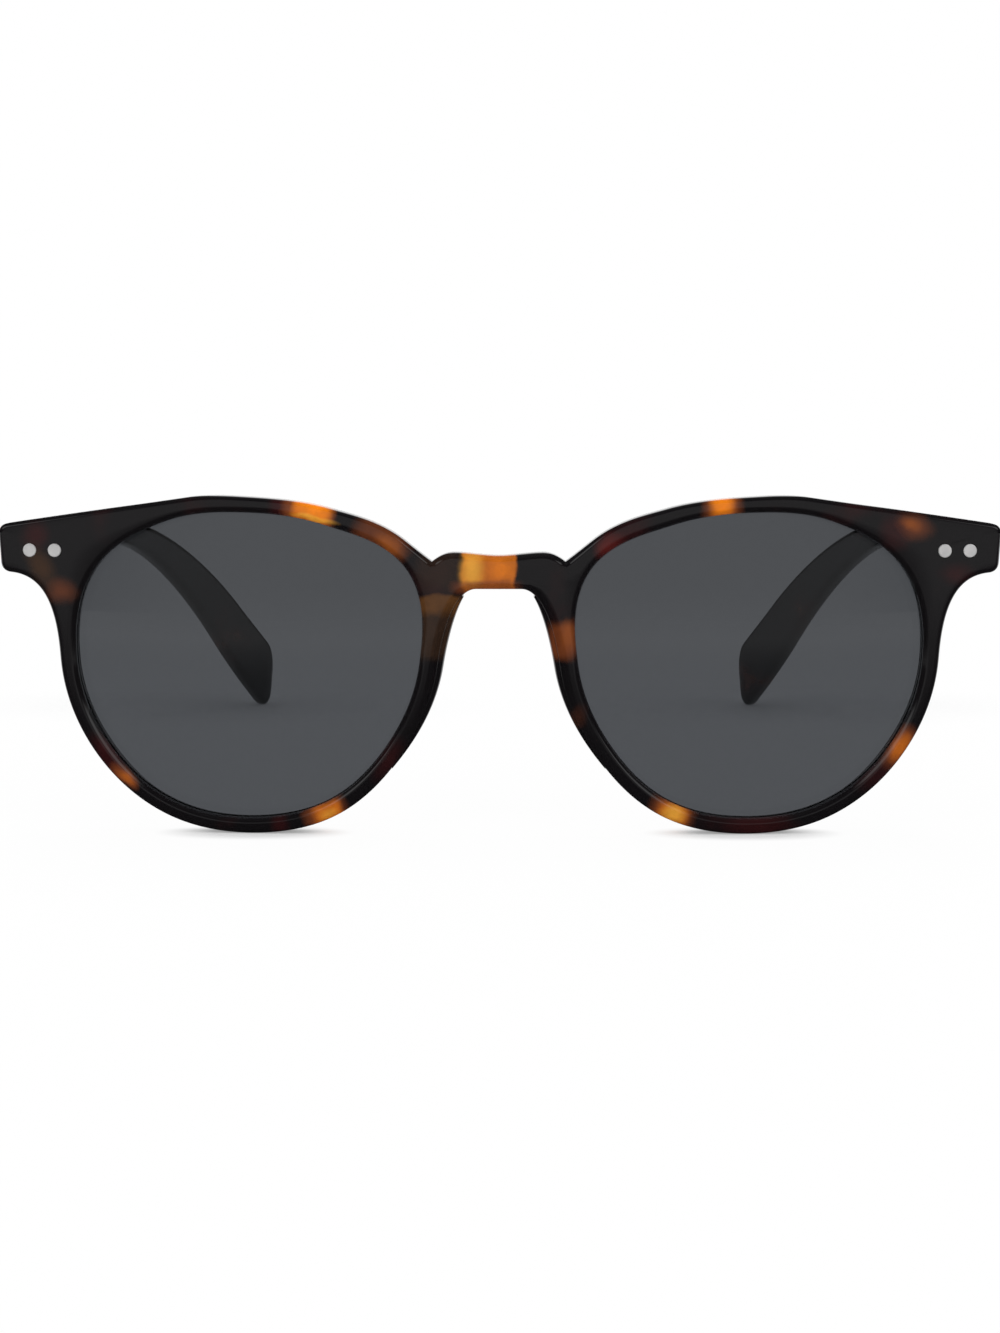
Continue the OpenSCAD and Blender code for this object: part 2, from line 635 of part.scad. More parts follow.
// A temple holds its leaf in a pocket and its core wire in a channel that opens at the butt face
module temple(left) {
  color([0.12, 0.08, 0.08]) sided(left) difference() {
    polyhedron(temple_points, tube_faces(len(temple_stations), ring_size));
    temple_plate(inlay_gap);
    for (k = [0, 1]) at_temple_rivet(k) rivet(temple_rivet_len + over, inlay_gap, over);
    wire_bar(concat([-wire_mouth], wire_stations, [temple_len - wire_end + wire_spare]), inlay_gap);
  }
}

module core_wire(left) {
  color("gray") sided(left) wire_bar(wire_stations, 0);
}

front_frame();
lens(true);  // lens_left
lens(false);  // lens_right
nose_pad(true);  // nose_pad_left
nose_pad(false);  // nose_pad_right
front_leaf(true);  // front_leaf_left
front_leaf(false);  // front_leaf_right
front_rivet(true, 0);  // front_rivet_inner_left
front_rivet(false, 0);  // front_rivet_inner_right
front_rivet(true, 1);  // front_rivet_outer_left
front_rivet(false, 1);  // front_rivet_outer_right
hinge_screw(true);  // hinge_screw_left
hinge_screw(false);  // hinge_screw_right
temple(true);  // temple_left
temple(false);  // temple_right
temple_leaf(true);  // temple_leaf_left
temple_leaf(false);  // temple_leaf_right
temple_rivet(true, 0);  // temple_rivet_front_left
temple_rivet(false, 0);  // temple_rivet_front_right
temple_rivet(true, 1);  // temple_rivet_rear_left
temple_rivet(false, 1);  // temple_rivet_rear_right
core_wire(true);  // core_wire_left
core_wire(false);  // core_wire_right
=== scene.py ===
"""Round tortoiseshell sunglasses: polished acetate, tinted lenses and plain riveted hinges.

Lengths in the size classes are in millimetres, in the part's own frame: +X is the wearer's left,
-Y is the front, +Z is up and the floor is z = 0. Meshes are made in metres.
"""

import logging
import math
from dataclasses import dataclass, field
from enum import Enum
from typing import Callable, Optional, Sequence, Union

import bmesh
import bpy
import numpy as np
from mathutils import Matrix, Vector


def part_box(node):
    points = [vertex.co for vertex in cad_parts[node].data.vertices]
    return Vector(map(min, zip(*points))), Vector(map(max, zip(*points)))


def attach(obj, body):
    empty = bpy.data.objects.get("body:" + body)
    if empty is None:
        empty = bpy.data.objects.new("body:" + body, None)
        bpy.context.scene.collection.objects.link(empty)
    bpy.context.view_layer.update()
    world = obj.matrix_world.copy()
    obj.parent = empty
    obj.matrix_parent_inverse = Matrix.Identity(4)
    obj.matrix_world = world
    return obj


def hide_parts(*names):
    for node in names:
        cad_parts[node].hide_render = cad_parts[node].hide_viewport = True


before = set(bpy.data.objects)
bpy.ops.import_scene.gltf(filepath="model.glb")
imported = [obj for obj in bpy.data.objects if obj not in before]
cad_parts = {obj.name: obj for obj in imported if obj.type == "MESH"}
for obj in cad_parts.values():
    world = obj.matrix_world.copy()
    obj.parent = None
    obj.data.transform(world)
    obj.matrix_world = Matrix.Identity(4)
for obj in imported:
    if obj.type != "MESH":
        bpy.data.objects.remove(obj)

log = logging.getLogger("sunglasses")
MM = 0.001

Array = np.ndarray
Number = Union[Array, float]
Triple = tuple[float, float, float]
Spot = tuple[float, float]
Piece = bpy.types.Object
Material = bpy.types.Material
Socket = bpy.types.NodeSocket
SocketValue = Union[Socket, float, tuple]
Sockets = bpy.types.NodeOutputs
Wires = dict[Union[str, int], SocketValue]
Skip = Optional[Callable[[int, int], bool]]

WHITE = (1.0, 1.0, 1.0)
X_WAY, Y_WAY, UP = np.eye(3)
# A direction that no turned solid's axis has
ASKEW = (0.3, 0.5, 0.8)
# Points closer than the first are welded, and edges shorter than the second go, in metres
WELD, SLIVER = 1e-7, 1e-8

# Edges that turn by more degrees than these stay crisp
FRONT_SHARP = 50.0
TEMPLE_SHARP = 35.0
LENS_SHARP = 30.0
CUTTER_SHARP = 40.0


class Side(Enum):
    """The wearer's side, by the sign of X."""

    LEFT = 1
    RIGHT = -1

    @property
    def word(self) -> str:
        """The side's word in the names of nodes."""
        return self.name.lower()


# Curves in the plane and in space


def mix(a: Number, b: Number, t: Number) -> Number:
    """Goes from a to b as t goes from 0 to 1."""
    return a + (b - a) * t


def smooth(t: Number) -> Number:
    """Rises from 0 to 1 without a kink, and stays flat outside."""
    c = np.clip(t, 0.0, 1.0)
    return c * c * (3 - 2 * c)


def bump(angle: Number, centre: float, spread: float) -> Number:
    """A bell over an angle, 1 at its centre and 1/e at spread degrees from it."""
    away = (np.asarray(angle, float) - centre + 180) % 360 - 180
    return np.exp(-((away / spread) ** 2))


def unit(v: Array) -> Array:
    """Vectors along the last axis, brought to length 1."""
    length = np.linalg.norm(v, axis=-1, keepdims=True)
    return v / np.maximum(length, 1e-12)


def spline(points: Sequence[Array], t: Array) -> Array:
    """Goes from the second to the third of four points on a curve through all of them."""
    p0, p1, p2, p3 = points
    return p1 + 0.5 * t * (p2 - p0 + t * (2 * p0 - 5 * p1 + 4 * p2 - p3 + t * (3 * (p1 - p2) + p3 - p0)))


def bezier_run(points: Sequence[Array], count: int) -> Array:
    """Steps along a cubic Bezier curve.

    Args:
        points: The curve's ends, with its two handles between them.
        count: Number of steps.

    Returns:
        The points, without the curve's end.
    """
    t = (np.arange(count) / count)[:, None]
    a, b, c, d = (np.asarray(p, float) for p in points)
    return (1 - t) ** 3 * a + 3 * t * (1 - t) ** 2 * b + 3 * t * t * (1 - t) * c + t**3 * d


def corner_run(corner: Array, along: Array, away: Array, radius: float, count: int) -> Array:
    """Rounds a corner.

    Args:
        corner: The sharp corner's place.
        along: Direction in which the outline arrives.
        away: Direction in which it leaves.
        radius: Length of each leg that the rounding takes.
        count: Number of steps.

    Returns:
        The rounded corner's points, both ends included.
    """
    t = (np.arange(count + 1) / count)[:, None]
    start, end = corner - radius * along, corner + radius * away
    return (1 - t) ** 2 * start + 2 * t * (1 - t) * corner + t * t * end


def line_run(a: Array, b: Array, count: int) -> Array:
    """Points of a straight line, without its end point."""
    return mix(np.asarray(a, float), np.asarray(b, float), (np.arange(count) / count)[:, None])


def conic_edge(a: Array, corner: Array, b: Array, weight: Number, count: int) -> list[Array]:
    """Rows that round the edge between two faces.

    Args:
        a: Where the rounding starts, one point for each station.
        corner: The sharp edge.
        b: Where the rounding ends.
        weight: 0 for a flat chamfer, 0.7 for a quarter circle.
        count: Number of steps.

    Returns:
        count + 1 rows of points.
    """
    rows = []
    w = np.broadcast_to(weight, len(a))[:, None]
    for t in np.arange(count + 1) / count:
        k0, k1, k2 = (1 - t) ** 2, 2 * t * (1 - t) * w, t * t
        rows.append((k0 * a + k1 * corner + k2 * b) / (k0 + k1 + k2))
    return rows


def rounded_rect(w: float, h: float, r: float, steps: int = 6) -> Array:
    """Outline of a rectangle with rounded corners, about its middle.

    Args:
        w: Width.
        h: Height.
        r: Radius of its corners.
        steps: Number of steps round each corner.

    Returns:
        The outline's points.
    """
    a = np.linspace(0, math.pi / 2, steps + 1)
    ring = []
    for q, (sx, sy) in enumerate([(1, 1), (-1, 1), (-1, -1), (1, -1)]):
        turn = a + q * math.pi / 2
        x, y = sx * (w / 2 - r) + r * np.cos(turn), sy * (h / 2 - r) + r * np.sin(turn)
        ring.append(np.stack([x, y], axis=1))
    return np.vstack(ring)


# Meshes


def finish_shading(piece: Piece, sharp: float) -> None:
    """Shades a mesh smoothly, apart from edges that turn by more than sharp degrees."""
    piece.data.shade_smooth()
    piece.data.set_sharp_from_angle(angle=math.radians(sharp))


def make_piece(name: str, points: Array, faces: Sequence[Sequence[int]], sharp: float) -> Piece:
    """Makes an object from points in millimetres.

    Args:
        name: The piece's name.
        points: One row of x, y, z for each point.
        faces: Indices of each face's points.
        sharp: Edges that turn by more degrees than this stay crisp.

    Returns:
        The new object, with welded points and outward normals.
    """
    mesh = bpy.data.meshes.new(name)
    mesh.from_pydata([tuple(float(c) for c in p) for p in points * MM], [], list(faces))
    bm = bmesh.new()
    bm.from_mesh(mesh)
    bmesh.ops.remove_doubles(bm, verts=bm.verts, dist=WELD)
    bmesh.ops.dissolve_degenerate(bm, edges=bm.edges, dist=SLIVER)
    bmesh.ops.recalc_face_normals(bm, faces=bm.faces)
    bm.to_mesh(mesh)
    bm.free()
    piece = bpy.data.objects.new(name, mesh)
    bpy.context.scene.collection.objects.link(piece)
    finish_shading(piece, sharp)
    return piece


def grid_faces(stations: int, rows: int, closed: bool, skip: Skip = None) -> list:
    """Four-sided faces of a surface whose every station has the same closed ring of rows.

    Args:
        stations: Number of stations.
        rows: Number of points in each station's ring.
        closed: True if the last station joins the first.
        skip: Says whether the face after a station and row is left out.

    Returns:
        The faces' indices.
    """
    found = []
    for i in range(stations if closed else stations - 1):
        k = (i + 1) % stations
        for j in range(rows):
            if not (skip and skip(i, j)):
                m = (j + 1) % rows
                found.append((i * rows + j, i * rows + m, k * rows + m, k * rows + j))
    return found


def make_solid(name: str, rings: Array, sharp: float = CUTTER_SHARP) -> Piece:
    """Makes a solid with a flat face on its first and its last ring.

    Args:
        name: The solid's name.
        rings: Rings that all have the same number of points, in millimetres.
        sharp: Edges that turn by more degrees than this stay crisp.

    Returns:
        The new object.
    """
    count, size = rings.shape[:2]
    last = (count - 1) * size
    faces = grid_faces(count, size, False) + [tuple(range(size)), tuple(range(last, last + size))]
    return make_piece(name, rings.reshape(-1, 3), faces, sharp)


def turned(name: str, origin: Array, axis: Array, profile: Sequence[Spot], count: int = 40) -> Piece:
    """Makes a turned solid, closed at both ends.

    Args:
        name: The solid's name.
        origin: Where its axis starts.
        axis: Direction of its axis.
        profile: Pairs of place along the axis and radius.
        count: Number of facets round it.

    Returns:
        The new object.
    """
    u = unit(np.cross(axis, ASKEW))
    a = np.arange(count) * 2 * math.pi / count
    circle = np.outer(np.cos(a), u) + np.outer(np.sin(a), np.cross(axis, u))
    return make_solid(name, np.array([origin + along * axis + radius * circle for along, radius in profile]))


def cut(piece: Piece, cutters: Sequence[Piece], sharp: float) -> None:
    """Cuts pockets and bores out of a piece.

    Args:
        piece: The piece that is cut.
        cutters: The shapes that are taken away, which are deleted afterwards.
        sharp: Edges that turn by more degrees than this stay crisp.
    """
    group = bpy.data.collections.new("cutters")
    for c in cutters:
        group.objects.link(c)
    tool = piece.modifiers.new("pockets", "BOOLEAN")
    tool.operand_type = "COLLECTION"
    tool.collection = group
    tool.solver = "EXACT"
    bpy.context.view_layer.update()
    cut_mesh = bpy.data.meshes.new_from_object(piece.evaluated_get(bpy.context.evaluated_depsgraph_get()))
    piece.modifiers.clear()
    piece.data = cut_mesh
    for c in cutters:
        bpy.data.objects.remove(c)
    bpy.data.collections.remove(group)
    finish_shading(piece, sharp)


# Node graphs


class Graph:
    """Adds nodes to one node tree, each wired as it is made."""

    def __init__(self, tree: bpy.types.NodeTree) -> None:
        """Starts from an empty tree."""
        tree.nodes.clear()
        self.tree = tree

    def add(self, kind: str, wires: Optional[Wires] = None, **settings: object) -> bpy.types.Node:
        """Makes a node.

        Args:
            kind: The node's type.
            wires: For each input, the output that feeds it, or its value.
            **settings: The node's own settings.

        Returns:
            The new node.
        """
        node = self.tree.nodes.new(kind)
        for key, value in settings.items():
            setattr(node, key, value)
        for key, value in (wires or {}).items():
            socket = node.inputs[key]
            if isinstance(value, Socket):
                self.tree.links.new(value, socket)
            else:
                opaque = socket.type == "RGBA" and len(value) == 3
                socket.default_value = (*value, 1.0) if opaque else value
        return node

    def blend(self, factor: SocketValue, a: SocketValue, b: SocketValue) -> Socket:
        """Mixes two colours and gives the result's socket."""
        return self.add("ShaderNodeMix", {0: factor, 6: a, 7: b}, data_type="RGBA").outputs[2]

    def maths(self, how: str, a: SocketValue, b: SocketValue = 0.0) -> Socket:
        """Combines two values and gives the result's socket."""
        return self.add("ShaderNodeMath", {0: a, 1: b}, operation=how).outputs[0]

    def vector(self, how: str, a: SocketValue, b: SocketValue = (0.0, 0.0, 0.0)) -> Socket:
        """Combines two vectors, scales one or measures it, and gives the result's socket."""
        node = self.add("ShaderNodeVectorMath", {0: a, "Scale" if how == "SCALE" else 1: b}, operation=how)
        return node.outputs["Value" if how in ("LENGTH", "DOT_PRODUCT") else 0]

    def ramp(
        self, value: SocketValue, low: float, high: float, to_low: float = 0.0, to_high: float = 1.0
    ) -> Socket:
        """Maps a range onto another with soft ends and gives the result's socket."""
        wires = {"Value": value, "From Min": low, "From Max": high, "To Min": to_low, "To Max": to_high}
        return self.add("ShaderNodeMapRange", wires, interpolation_type="SMOOTHSTEP").outputs[0]

    def noise(
        self, vector: SocketValue, scale: float, detail: float = 2.0, rough: float = 0.5, output: int = 0
    ) -> Socket:
        """Gives the socket of a noise texture's value, or of its colour as output 1."""
        wires = {"Vector": vector, "Scale": scale, "Detail": detail, "Roughness": rough}
        return self.add("ShaderNodeTexNoise", wires).outputs[output]

    def place(self) -> Socket:
        """The point's own place on its piece, which moves with the piece."""
        return self.add("ShaderNodeTexCoord").outputs["Object"]

    def light(self, kind: str, strength: SocketValue) -> Socket:
        """White light as a shader's socket."""
        return self.add(kind, {"Color": WHITE, "Strength": strength}).outputs[0]

    def choose(self, factor: SocketValue, a: Socket, b: Socket) -> Socket:
        """Mixes two shaders and gives the result's socket."""
        return self.add("ShaderNodeMixShader", {0: factor, 1: a, 2: b}).outputs[0]


SOCKET_KINDS = {
    "Vector": "NodeSocketVector",
    "Along": "NodeSocketVector",
    "Ground": "NodeSocketColor",
    "Light": "NodeSocketColor",
    "Dark": "NodeSocketColor",
    "Color": "NodeSocketColor",
}


def node_group(name: str, inputs: Sequence[str], outputs: Sequence[str]) -> tuple[Graph, Sockets]:
    """Makes an empty shader node group.

    Args:
        name: The group's name.
        inputs: Names of its inputs.
        outputs: Names of its outputs.

    Returns:
        A graph to fill the group with, and the sockets that its inputs arrive at.
    """
    tree = bpy.data.node_groups.new(name, "ShaderNodeTree")
    for way, labels in (("INPUT", inputs), ("OUTPUT", outputs)):
        for label in labels:
            kind = SOCKET_KINDS.get(label, "NodeSocketFloat")
            tree.interface.new_socket(name=label, in_out=way, socket_type=kind)
    g = Graph(tree)
    return g, g.add("NodeGroupInput").outputs


class Tone(Enum):
    """Colours of the acetate's patches and of its painted bevel highlights, as linear red, green and blue.
    """

    AMBER = (0.52, 0.13, 0.010)
    HONEY = (0.88, 0.43, 0.05)
    FLAME = (0.97, 0.25, 0.006)
    RUBY = (0.22, 0.022, 0.016)
    RUST = (0.19, 0.048, 0.014)
    WINE = (0.029, 0.0055, 0.006)
    WALNUT = (0.030, 0.016, 0.010)
    OLIVE = (0.092, 0.038, 0.012)


@dataclass(frozen=True)
class Patch:
    """One patch in the acetate, or one painted highlight on it, by its middle and half sizes as seen from
    the front.
    """

    tone: Tone
    x: float
    z: float
    half_w: float
    half_h: float
    lean: float = 0.0
    strength: float = 1.0
    soft: float = 0.35


@dataclass(frozen=True)
class TortoisePatternAndGlints:
    """Where the acetate sheet's patches fall on the front, with two thin honey strips painted as highlights
    where the brows' inner bevels catch light; later ones lie over earlier ones.
    """

    patches: tuple[Patch, ...] = (
        Patch(Tone.WINE, -30.2, 46.4, 1.6, 2.6, 0.0, 1.0, 0.7),
        Patch(Tone.RUST, -26.6, 46.6, 3.3, 3.2, -6.0, 0.9, 0.25),
        Patch(Tone.AMBER, -26.2, 46.6, 2.5, 3.2, -6.0, 1.0, 0.2),
        Patch(Tone.FLAME, -25.8, 46.8, 2.0, 1.9, -6.0, 0.9, 0.7),
        # Painted highlight: a thin honey strip on the inner bevel of the wearer's right brow, where it
        # catches light
        Patch(Tone.HONEY, -25.9, 44.9, 2.4, 0.4, -12.0, 0.6, 0.6),
        Patch(Tone.RUST, -16.5, 42.1, 3.7, 2.1, -36.0, 0.55, 0.4),
        Patch(Tone.AMBER, -15.3, 41.4, 1.8, 0.9, -38.0, 0.35, 0.9),
        Patch(Tone.WALNUT, -8.4, 38.2, 2.9, 3.2, 0.0, 0.55),
        Patch(Tone.AMBER, -1.3, 38.0, 3.75, 4.4, 0.0, 0.9, 0.1),
        Patch(Tone.HONEY, -3.7, 37.8, 1.3, 2.3, 0.0, 0.7, 0.8),
        Patch(Tone.FLAME, 0.6, 37.8, 1.4, 1.0, 0.0, 0.4, 0.9),
        Patch(Tone.RUST, -1.6, 35.4, 4.2, 0.9, 0.0, 0.75, 0.4),
        Patch(Tone.OLIVE, -8.4, 32.6, 3.4, 1.8, 0.0, 1.0, 0.2),
        Patch(Tone.WALNUT, -8.8, 28.5, 3.4, 3.1, 0.0, 1.0, 0.3),
        Patch(Tone.RUST, -24.5, 2.9, 2.7, 1.9, 20.0, 0.9, 0.4),
        Patch(Tone.AMBER, -24.3, 3.0, 1.9, 1.5, 20.0, 1.0, 0.35),
        Patch(Tone.HONEY, -24.4, 2.9, 1.0, 0.7, 20.0, 0.4, 0.9),
        Patch(Tone.WINE, -31.0, 1.2, 1.0, 1.6, 0.0, 0.9, 0.8),
        Patch(Tone.RUST, 31.2, 46.6, 2.4, 2.4, 6.0, 0.9, 0.4),
        Patch(Tone.AMBER, 31.2, 46.6, 1.6, 2.2, 6.0, 0.9, 0.45),
        Patch(Tone.FLAME, 31.0, 47.2, 1.2, 1.4, 6.0, 0.8, 0.8),
        # Painted highlight: a thin honey strip on the inner bevel of the wearer's left brow, where it
        # catches light
        Patch(Tone.HONEY, 31.9, 45.1, 2.1, 0.3, 8.0, 0.6, 0.6),
        Patch(Tone.RUST, 24.6, 3.0, 3.0, 2.0, -14.0, 0.8, 0.4),
        Patch(Tone.AMBER, 24.8, 3.0, 2.2, 1.5, -14.0, 0.9, 0.4),
        Patch(Tone.HONEY, 24.9, 3.0, 1.5, 1.1, -14.0, 0.7, 0.7),
        Patch(Tone.RUST, 57.1, 12.3, 1.7, 2.8, -32.0, 0.9, 0.5),
        Patch(Tone.AMBER, 57.0, 12.3, 0.9, 1.7, -32.0, 0.8, 0.6),
        Patch(Tone.RUST, 9.0, 27.8, 1.8, 2.6, 6.0, 0.75, 0.35),
        Patch(Tone.AMBER, 9.6, 28.6, 0.8, 1.7, 6.0, 0.25, 0.9),
        Patch(Tone.RUST, 11.0, 16.6, 0.8, 1.6, -25.0, 0.15, 0.9),
        Patch(Tone.RUBY, 15.7, 41.4, 1.7, 1.1, 36.0, 0.6, 0.9),
        Patch(Tone.WINE, 56.0, 43.2, 1.8, 2.0, 0.0, 0.8, 0.8),
        Patch(Tone.RUST, 58.6, 43.8, 2.0, 1.4, -28.0, 0.6, 0.8),
        Patch(Tone.AMBER, 58.1, 44.2, 1.2, 0.7, -28.0, 0.25, 0.9),
        Patch(Tone.WINE, 64.6, 37.2, 1.8, 1.2, 0.0, 0.7, 0.9),
        Patch(Tone.WINE, -55.6, 11.0, 1.3, 3.2, 38.0, 1.0, 0.6),
        Patch(Tone.RUST, -53.4, 8.0, 0.9, 2.1, 46.0, 1.0, 0.5),
        Patch(Tone.AMBER, -53.2, 7.8, 0.5, 1.0, 46.0, 0.5, 0.9),
        Patch(Tone.RUST, -62.1, 34.5, 1.5, 1.3, 0.0, 0.48, 0.9),
        Patch(Tone.OLIVE, -65.0, 38.0, 1.4, 2.6, 28.0, 0.4, 0.8),
        Patch(Tone.WINE, -65.6, 42.4, 1.6, 1.4, 0.0, 1.0, 0.9),
        Patch(Tone.WINE, 17.5, 42.6, 3.2, 1.6, 36.0, 0.7, 0.9),
        Patch(Tone.WINE, 37.2, 1.2, 4.2, 2.0, 0.0, 0.8, 0.6),
        Patch(Tone.WINE, 54.0, 8.4, 2.0, 2.6, -40.0, 0.6, 0.8),
        Patch(Tone.WINE, -15.6, 10.8, 1.2, 2.6, -30.0, 0.7, 0.8),
    )
    front_y: float = -64.4
    half_depth: float = 14.0
    wander: float = 1.4
    crisp_below: float = 0.5

    def group(self) -> bpy.types.NodeTree:
        """Builds the node group that gives the acetate's colour at each point, painted bevel highlights
        included.

        Returns:
            A group with a Vector and a Ground input, and a Color output.
        """
        g, given = node_group("tortoiseshell", ("Vector", "Ground"), ("Color",))
        place = given["Vector"]
        drift = g.vector("SUBTRACT", g.noise(place, 260.0, 3.0, output=1), (0.5, 0.5, 0.5))
        wandered = g.vector("ADD", place, g.vector("SCALE", drift, self.wander * MM))
        cloud = g.noise(place, 95.0, 3.0, 0.55)
        colour = g.blend(g.ramp(cloud, 0.56, 0.8, 0.0, 0.5), given["Ground"], Tone.WINE.value)
        veins = g.noise(place, 420.0, 3.0, 0.6)
        edge = g.maths("MULTIPLY", g.maths("SUBTRACT", veins, 0.5), 0.3)
        cover: SocketValue = 0.0
        for p in self.patches:
            wires = {
                "Vector": wandered,
                "Location": (p.x * MM, self.front_y * MM, p.z * MM),
                "Rotation": (0.0, math.radians(-p.lean), 0.0),
                "Scale": (p.half_w * MM, self.half_depth * MM, p.half_h * MM),
            }
            local = g.add("ShaderNodeMapping", wires, vector_type="TEXTURE").outputs[0]
            if p.soft < self.crisp_below:
                # Squares before and a root after make this patch a rounded square instead of an ellipse
                far = g.maths("SQRT", g.vector("LENGTH", g.vector("MULTIPLY", local, local)))
            else:
                far = g.vector("LENGTH", local)
            mask = g.ramp(g.maths("ADD", far, edge), 1.0 + p.soft, 1.0 - p.soft, 0.0, p.strength)
            colour = g.blend(mask, colour, p.tone.value)
            cover = g.maths("MAXIMUM", cover, mask)
        varied = g.vector("SCALE", colour, g.ramp(veins, 0.3, 0.7, 0.88, 1.12))
        g.add("NodeGroupOutput", {"Color": g.blend(cover, colour, varied)})
        return g.tree


def mottle_group() -> bpy.types.NodeTree:
    """Builds the colour of the temples, which are cut from a darker part of the sheet.

    Returns:
        A group with a Vector and a Ground input, and a Color output.
    """
    g, given = node_group("temple_mottle", ("Vector", "Ground"), ("Color",))
    cloud = g.noise(g.vector("MULTIPLY", given["Vector"], (0.6, 0.75, 1.0)), 62.0, 3.0, 0.55)
    colour = given["Ground"]
    steps = ((Tone.WINE, 0.54, 0.66, 1.0), (Tone.RUST, 0.60, 0.72, 0.8), (Tone.AMBER, 0.69, 0.78, 0.8))
    for tone, low, high, most in steps:
        colour = g.blend(g.ramp(cloud, low, high, 0.0, most), colour, tone.value)
    g.add("NodeGroupOutput", {"Color": colour})
    return g.tree


def polish_group() -> bpy.types.NodeTree:
    """Builds the fine waviness and the hairlines of hand-polished surfaces.

    Returns:
        A group with Vector, Gloss and Haze inputs, and Roughness and Height outputs.
    """
    g, given = node_group("polish", ("Vector", "Gloss", "Haze"), ("Roughness", "Height"))
    cloud = g.noise(given["Vector"], 180.0, 3.0)
    streaked = g.vector("MULTIPLY", given["Vector"], (1.0, 1.0, 14.0))
    hairs = g.ramp(g.noise(streaked, 1400.0, 1.0), 0.64, 0.72)
    marks = g.maths("ADD", g.maths("MULTIPLY", cloud, 0.6), g.maths("MULTIPLY", hairs, 0.4))
    rough = g.maths("ADD", given["Gloss"], g.maths("MULTIPLY", marks, given["Haze"]))
    height = g.maths("ADD", cloud, g.maths("MULTIPLY", hairs, -0.15))
    g.add("NodeGroupOutput", {"Roughness": rough, "Height": height})
    return g.tree


def edge_wear_group() -> bpy.types.NodeTree:
    """Builds the mask of worn edges on metal and acetate.

    Returns:
        A group with Vector and Amount inputs and a Mask output.
    """
    g, given = node_group("edge_wear", ("Vector", "Amount"), ("Mask",))
    ridge = g.ramp(g.add("ShaderNodeNewGeometry").outputs["Pointiness"], 0.52, 0.60)
    chips = g.ramp(g.noise(given["Vector"], 900.0, 3.0), 0.35, 0.65)
    worn = g.maths("MULTIPLY", ridge, chips)
    g.add("NodeGroupOutput", {"Mask": g.maths("MULTIPLY", worn, given["Amount"])})
    return g.tree


def brushed_group() -> bpy.types.NodeTree:
    """Builds the brushed grain of metal.

    Returns:
        A group with Vector, Along, Light, Dark and Gloss inputs, and Color, Roughness and Height outputs.
    """
    inputs = ("Vector", "Along", "Light", "Dark", "Gloss")
    g, given = node_group("brushed_grain", inputs, ("Color", "Roughness", "Height"))
    grain = g.noise(g.vector("MULTIPLY", given["Vector"], given["Along"]), 2600.0, 3.0, 0.6)
    cloud = g.ramp(g.noise(given["Vector"], 420.0), 0.3, 0.72)
    tint = g.blend(cloud, given["Light"], given["Dark"])
    rough = g.maths("ADD", given["Gloss"], g.maths("MULTIPLY", grain, 0.16))
    g.add("NodeGroupOutput", {"Color": tint, "Roughness": rough, "Height": grain})
    return g.tree


# Finishes


class Effects:
    """The shared node groups, built once."""

    def __init__(self) -> None:
        """Builds every group."""
        self.tortoise = TortoisePatternAndGlints().group()
        self.mottle = mottle_group()
        self.polish = polish_group()
        self.wear = edge_wear_group()
        self.brushed = brushed_group()


def new_material(name: str) -> tuple[Material, Graph]:
    """Makes a material.

    Args:
        name: The material's name.

    Returns:
        The material, and a graph over its empty node tree.
    """
    made = bpy.data.materials.new(name)
    made.use_nodes = True
    return made, Graph(made.node_tree)


@dataclass(frozen=True)
class Finish:
    """A surface of one principled shader."""

    name: str

    def wires(self, g: Graph, place: Socket, effects: Effects) -> Wires:
        """Lays the nodes before the shader.

        Args:
            g: The material's graph.
            place: The point's own place on its piece.
            effects: The shared node groups.

        Returns:
            What feeds each of the shader's inputs.
        """
        raise NotImplementedError

    def material(self, effects: Effects) -> Material:
        """Builds the material.

        Args:
            effects: The shared node groups.

        Returns:
            The material.
        """
        made, g = new_material(self.name)
        shader = g.add("ShaderNodeBsdfPrincipled", self.wires(g, g.place(), effects))
        g.add("ShaderNodeOutputMaterial", {"Surface": shader.outputs[0]})
        return made


@dataclass(frozen=True)
class AcetateFinish(Finish):
    """Polished acetate, coloured by the node group of its part of the sheet."""

    sheet: bpy.types.NodeTree
    ground: Triple = (0.0058, 0.0050, 0.0058)
    gloss: float = 0.07
    haze: float = 0.09
    wear: float = 0.2
    relief: float = 0.035
    relief_depth: float = 0.0002
    ior: float = 1.49
    coat: float = 0.15
    coat_roughness: float = 0.04

    def wires(self, g: Graph, place: Socket, effects: Effects) -> Wires:
        """Lays the sheet's colour, the polish and the wear.

        Args:
            g: The material's graph.
            place: The point's own place on its piece.
            effects: The shared node groups.

        Returns:
            What feeds each of the shader's inputs.
        """
        sheet = g.add("ShaderNodeGroup", {"Vector": place, "Ground": self.ground}, node_tree=self.sheet)
        levels = {"Vector": place, "Gloss": self.gloss, "Haze": self.haze}
        polish = g.add("ShaderNodeGroup", levels, node_tree=effects.polish).outputs
        wear = g.add("ShaderNodeGroup", {"Vector": place, "Amount": self.wear}, node_tree=effects.wear)
        relief = {"Height": polish["Height"], "Strength": self.relief, "Distance": self.relief_depth}
        return {
            "Base Color": sheet.outputs["Color"],
            "Roughness": g.maths("ADD", polish["Roughness"], wear.outputs["Mask"]),
            "IOR": self.ior,
            "Coat Weight": self.coat,
            "Coat Roughness": self.coat_roughness,
            "Normal": g.add("ShaderNodeBump", relief).outputs[0],
        }


